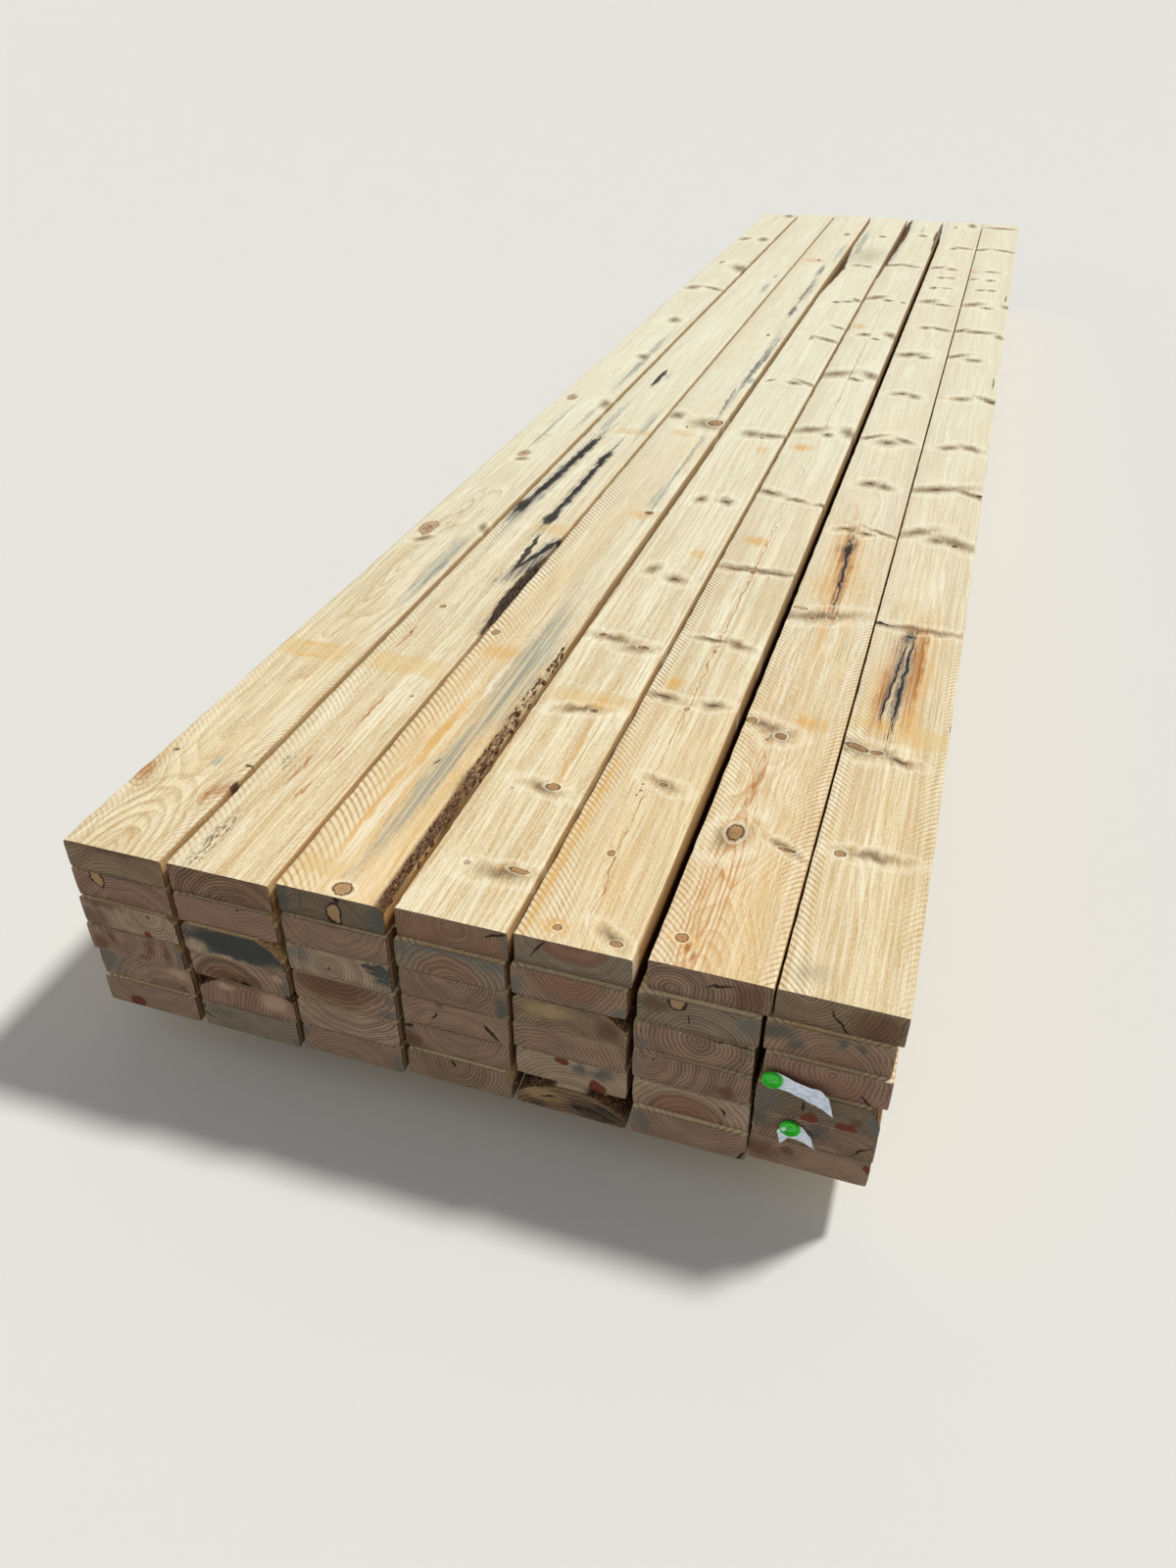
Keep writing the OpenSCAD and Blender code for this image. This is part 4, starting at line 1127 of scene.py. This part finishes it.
def bark_flakes(layer, row, count, first, last, material):
    """Loose flakes of bark on the round edge of a log."""
    rng = random.Random(layer * 10 + row)
    low, high = box_mm(board_name(layer, row))
    middle = (low + high) / 2
    wane = WANES[(layer, row)]
    side = wane[0]
    bm = bmesh.new()
    for i in range(count):
        y = rng.uniform(first, last)
        cx, cz, radius = log_circle(wane, y)
        top = math.asin(min(1.0, (BOARD_T / 2 - cz) / radius))
        edge = math.acos(max(-1.0, min(1.0, (BOARD_W / 2 - side * cx) / radius)))
        if top <= edge:
            continue
        angle = rng.uniform(edge, top)
        away = Vector((side * math.cos(angle), 0, math.sin(angle)))
        over = Vector((-side * math.sin(angle), 0, math.cos(angle)))
        forwards = Vector((0, 1, 0))
        tilt = rng.uniform(-0.25, 0.25)
        along, out = (forwards + away * tilt).normalized(), (away - forwards * tilt).normalized()
        centre = Vector((cx, y, cz)) + away * (radius - 0.8)
        half_l, half_w = rng.uniform(3, 11), rng.uniform(1.4, 3.6)
        corners = []
        sides = rng.randint(5, 7)
        for k in range(sides):
            turn = 2 * math.pi * k / sides
            reach = rng.uniform(0.7, 1.1)
            onwards, sideways = half_l * reach * math.cos(turn), half_w * reach * math.sin(turn)
            corners.append(centre + along * onwards + over * sideways)
        thick = rng.uniform(0.7, 1.6)
        under, upper = [], []
        for corner in corners:
            world = corner + Vector((middle.x, low.y, middle.z))
            world.z = min(world.z, high.z - 2.0)
            world.x = max(min(world.x, FLAKE_X), -FLAKE_X)
            world.y = max(world.y, low.y + 0.8)
            under.append(bm.verts.new(world * MM))
            upper.append(bm.verts.new((world + out * thick) * MM))
        bridge(bm, [under, upper])
        bm.faces.new(under)
        bm.faces.new(upper)
    add_piece(f"bark_layer_{layer}_row_{row}", bm, None, material, sharp=None)


for layer in range(1, LAYERS + 1):
    for row in range(1, ROWS + 1):
        board_mesh(layer, row)

bearer_wood = bearer_material()
for number in range(1, BEARERS + 1):
    bearer_mesh(f"bearer_{number}", bearer_wood, number)
plastic = cloudy_material("cap_plastic", (0.26,) * 3, 2.0, "2cc428", "3ad634", 0.38, 0.1)
steel = Graph("staple_steel").finish("96989c", 0.35, specular=0.5, metal=0.9)
film = cloudy_material("wrap_film", (0.16, 0.06, 0.26), 3.0, "ecf3ff", "ced8ee", 0.36, 1.0)
for which in ("upper", "lower"):
    cap_mesh("wrap_cap_" + which, plastic, steel)
    film_mesh("wrap_scrap_" + which, which, "wrap_cap_" + which, film)
splinters()
brown_bark = bark_material("brown")
bark_flakes(1, 3, 150, 0.0, 700.0, brown_bark)
bark_flakes(1, 2, 70, 740.0, 1010.0, bark_material("black"))
bark_flakes(6, 5, 60, 0.0, 900.0, brown_bark)
bark_flakes(5, 2, 30, 0.0, 500.0, brown_bark)


# Stage

def stage_floor():
    """A pale floor that curves up into a round wall far away."""
    profile = [(60.0, 0.0), (90.0, 0.0), (104.0, 1.2), (118.0, 5.0), (131.0, 13.0), (141.0, 27.0),
               (147.0, 46.0), (150.0, 70.0)]
    around = 96
    verts = [(0.0, 0.0, 0.0)]
    for radius, height in profile:
        for i in range(around):
            angle = 2 * math.pi * i / around
            verts.append((radius * math.cos(angle), radius * math.sin(angle), height))
    faces = [(0, 1 + i, 1 + (i + 1) % around) for i in range(around)]
    for k in range(len(profile) - 1):
        for i in range(around):
            j = (i + 1) % around
            one, two = 1 + k * around, 1 + (k + 1) * around
            faces.append((one + i, two + i, two + j, one + j))
    mesh = bpy.data.meshes.new("floor")
    mesh.from_pydata(verts, [], faces)
    mesh.shade_smooth()
    floor = bpy.data.objects.new("floor", mesh)
    bpy.context.scene.collection.objects.link(floor)
    mesh.materials.append(Graph("floor").finish("e2e1de", 0.9, specular=0.1))


def lamps():
    """A soft sun from the right and a dim even sky."""
    sun = bpy.data.lights.new("key", "SUN")
    sun.energy = 2.8
    sun.angle = math.radians(7)
    sun.color = (0.98, 0.975, 0.925)
    lamp = bpy.data.objects.new("key", sun)
    lamp.rotation_euler = Vector((0.42, 0.42, 0.85)).to_track_quat("Z", "Y").to_euler()
    bpy.context.scene.collection.objects.link(lamp)
    world = bpy.data.worlds.new("world")
    bpy.context.scene.world = world
    world.use_nodes = True
    sky = world.node_tree.nodes["Background"]
    sky.inputs[0].default_value = (0.93, 0.96, 1.0, 1.0)
    sky.inputs[1].default_value = 0.3


def camera():
    """The photograph's own view, from the fit of the boards' corners."""
    front, stack_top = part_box("board_layer_1_row_4")[0][1], cad_bounds[1][2]
    place = Vector((0.4902, front - 0.9441, stack_top + 0.9576))
    yaw, pitch = math.radians(-18.207), math.radians(35.663)
    ahead = Vector((math.sin(yaw) * math.cos(pitch), math.cos(yaw) * math.cos(pitch), -math.sin(pitch)))
    right = Vector((math.cos(yaw), -math.sin(yaw), 0))
    lens = bpy.data.cameras.new("camera")
    lens.sensor_fit = "VERTICAL"
    lens.sensor_height = 36.0
    lens.lens = lens.sensor_height * 1180.3 / 1600
    lens.clip_end = 400.0
    made = bpy.data.objects.new("camera", lens)
    columns = (right, right.cross(ahead), -ahead, place)
    made.matrix_world = Matrix([[column[i] for column in columns] for i in range(3)] + [[0, 0, 0, 1]])
    bpy.context.scene.collection.objects.link(made)
    bpy.context.scene.camera = made


stage_floor()
lamps()
camera()
bpy.context.scene.view_settings.view_transform = "Standard"
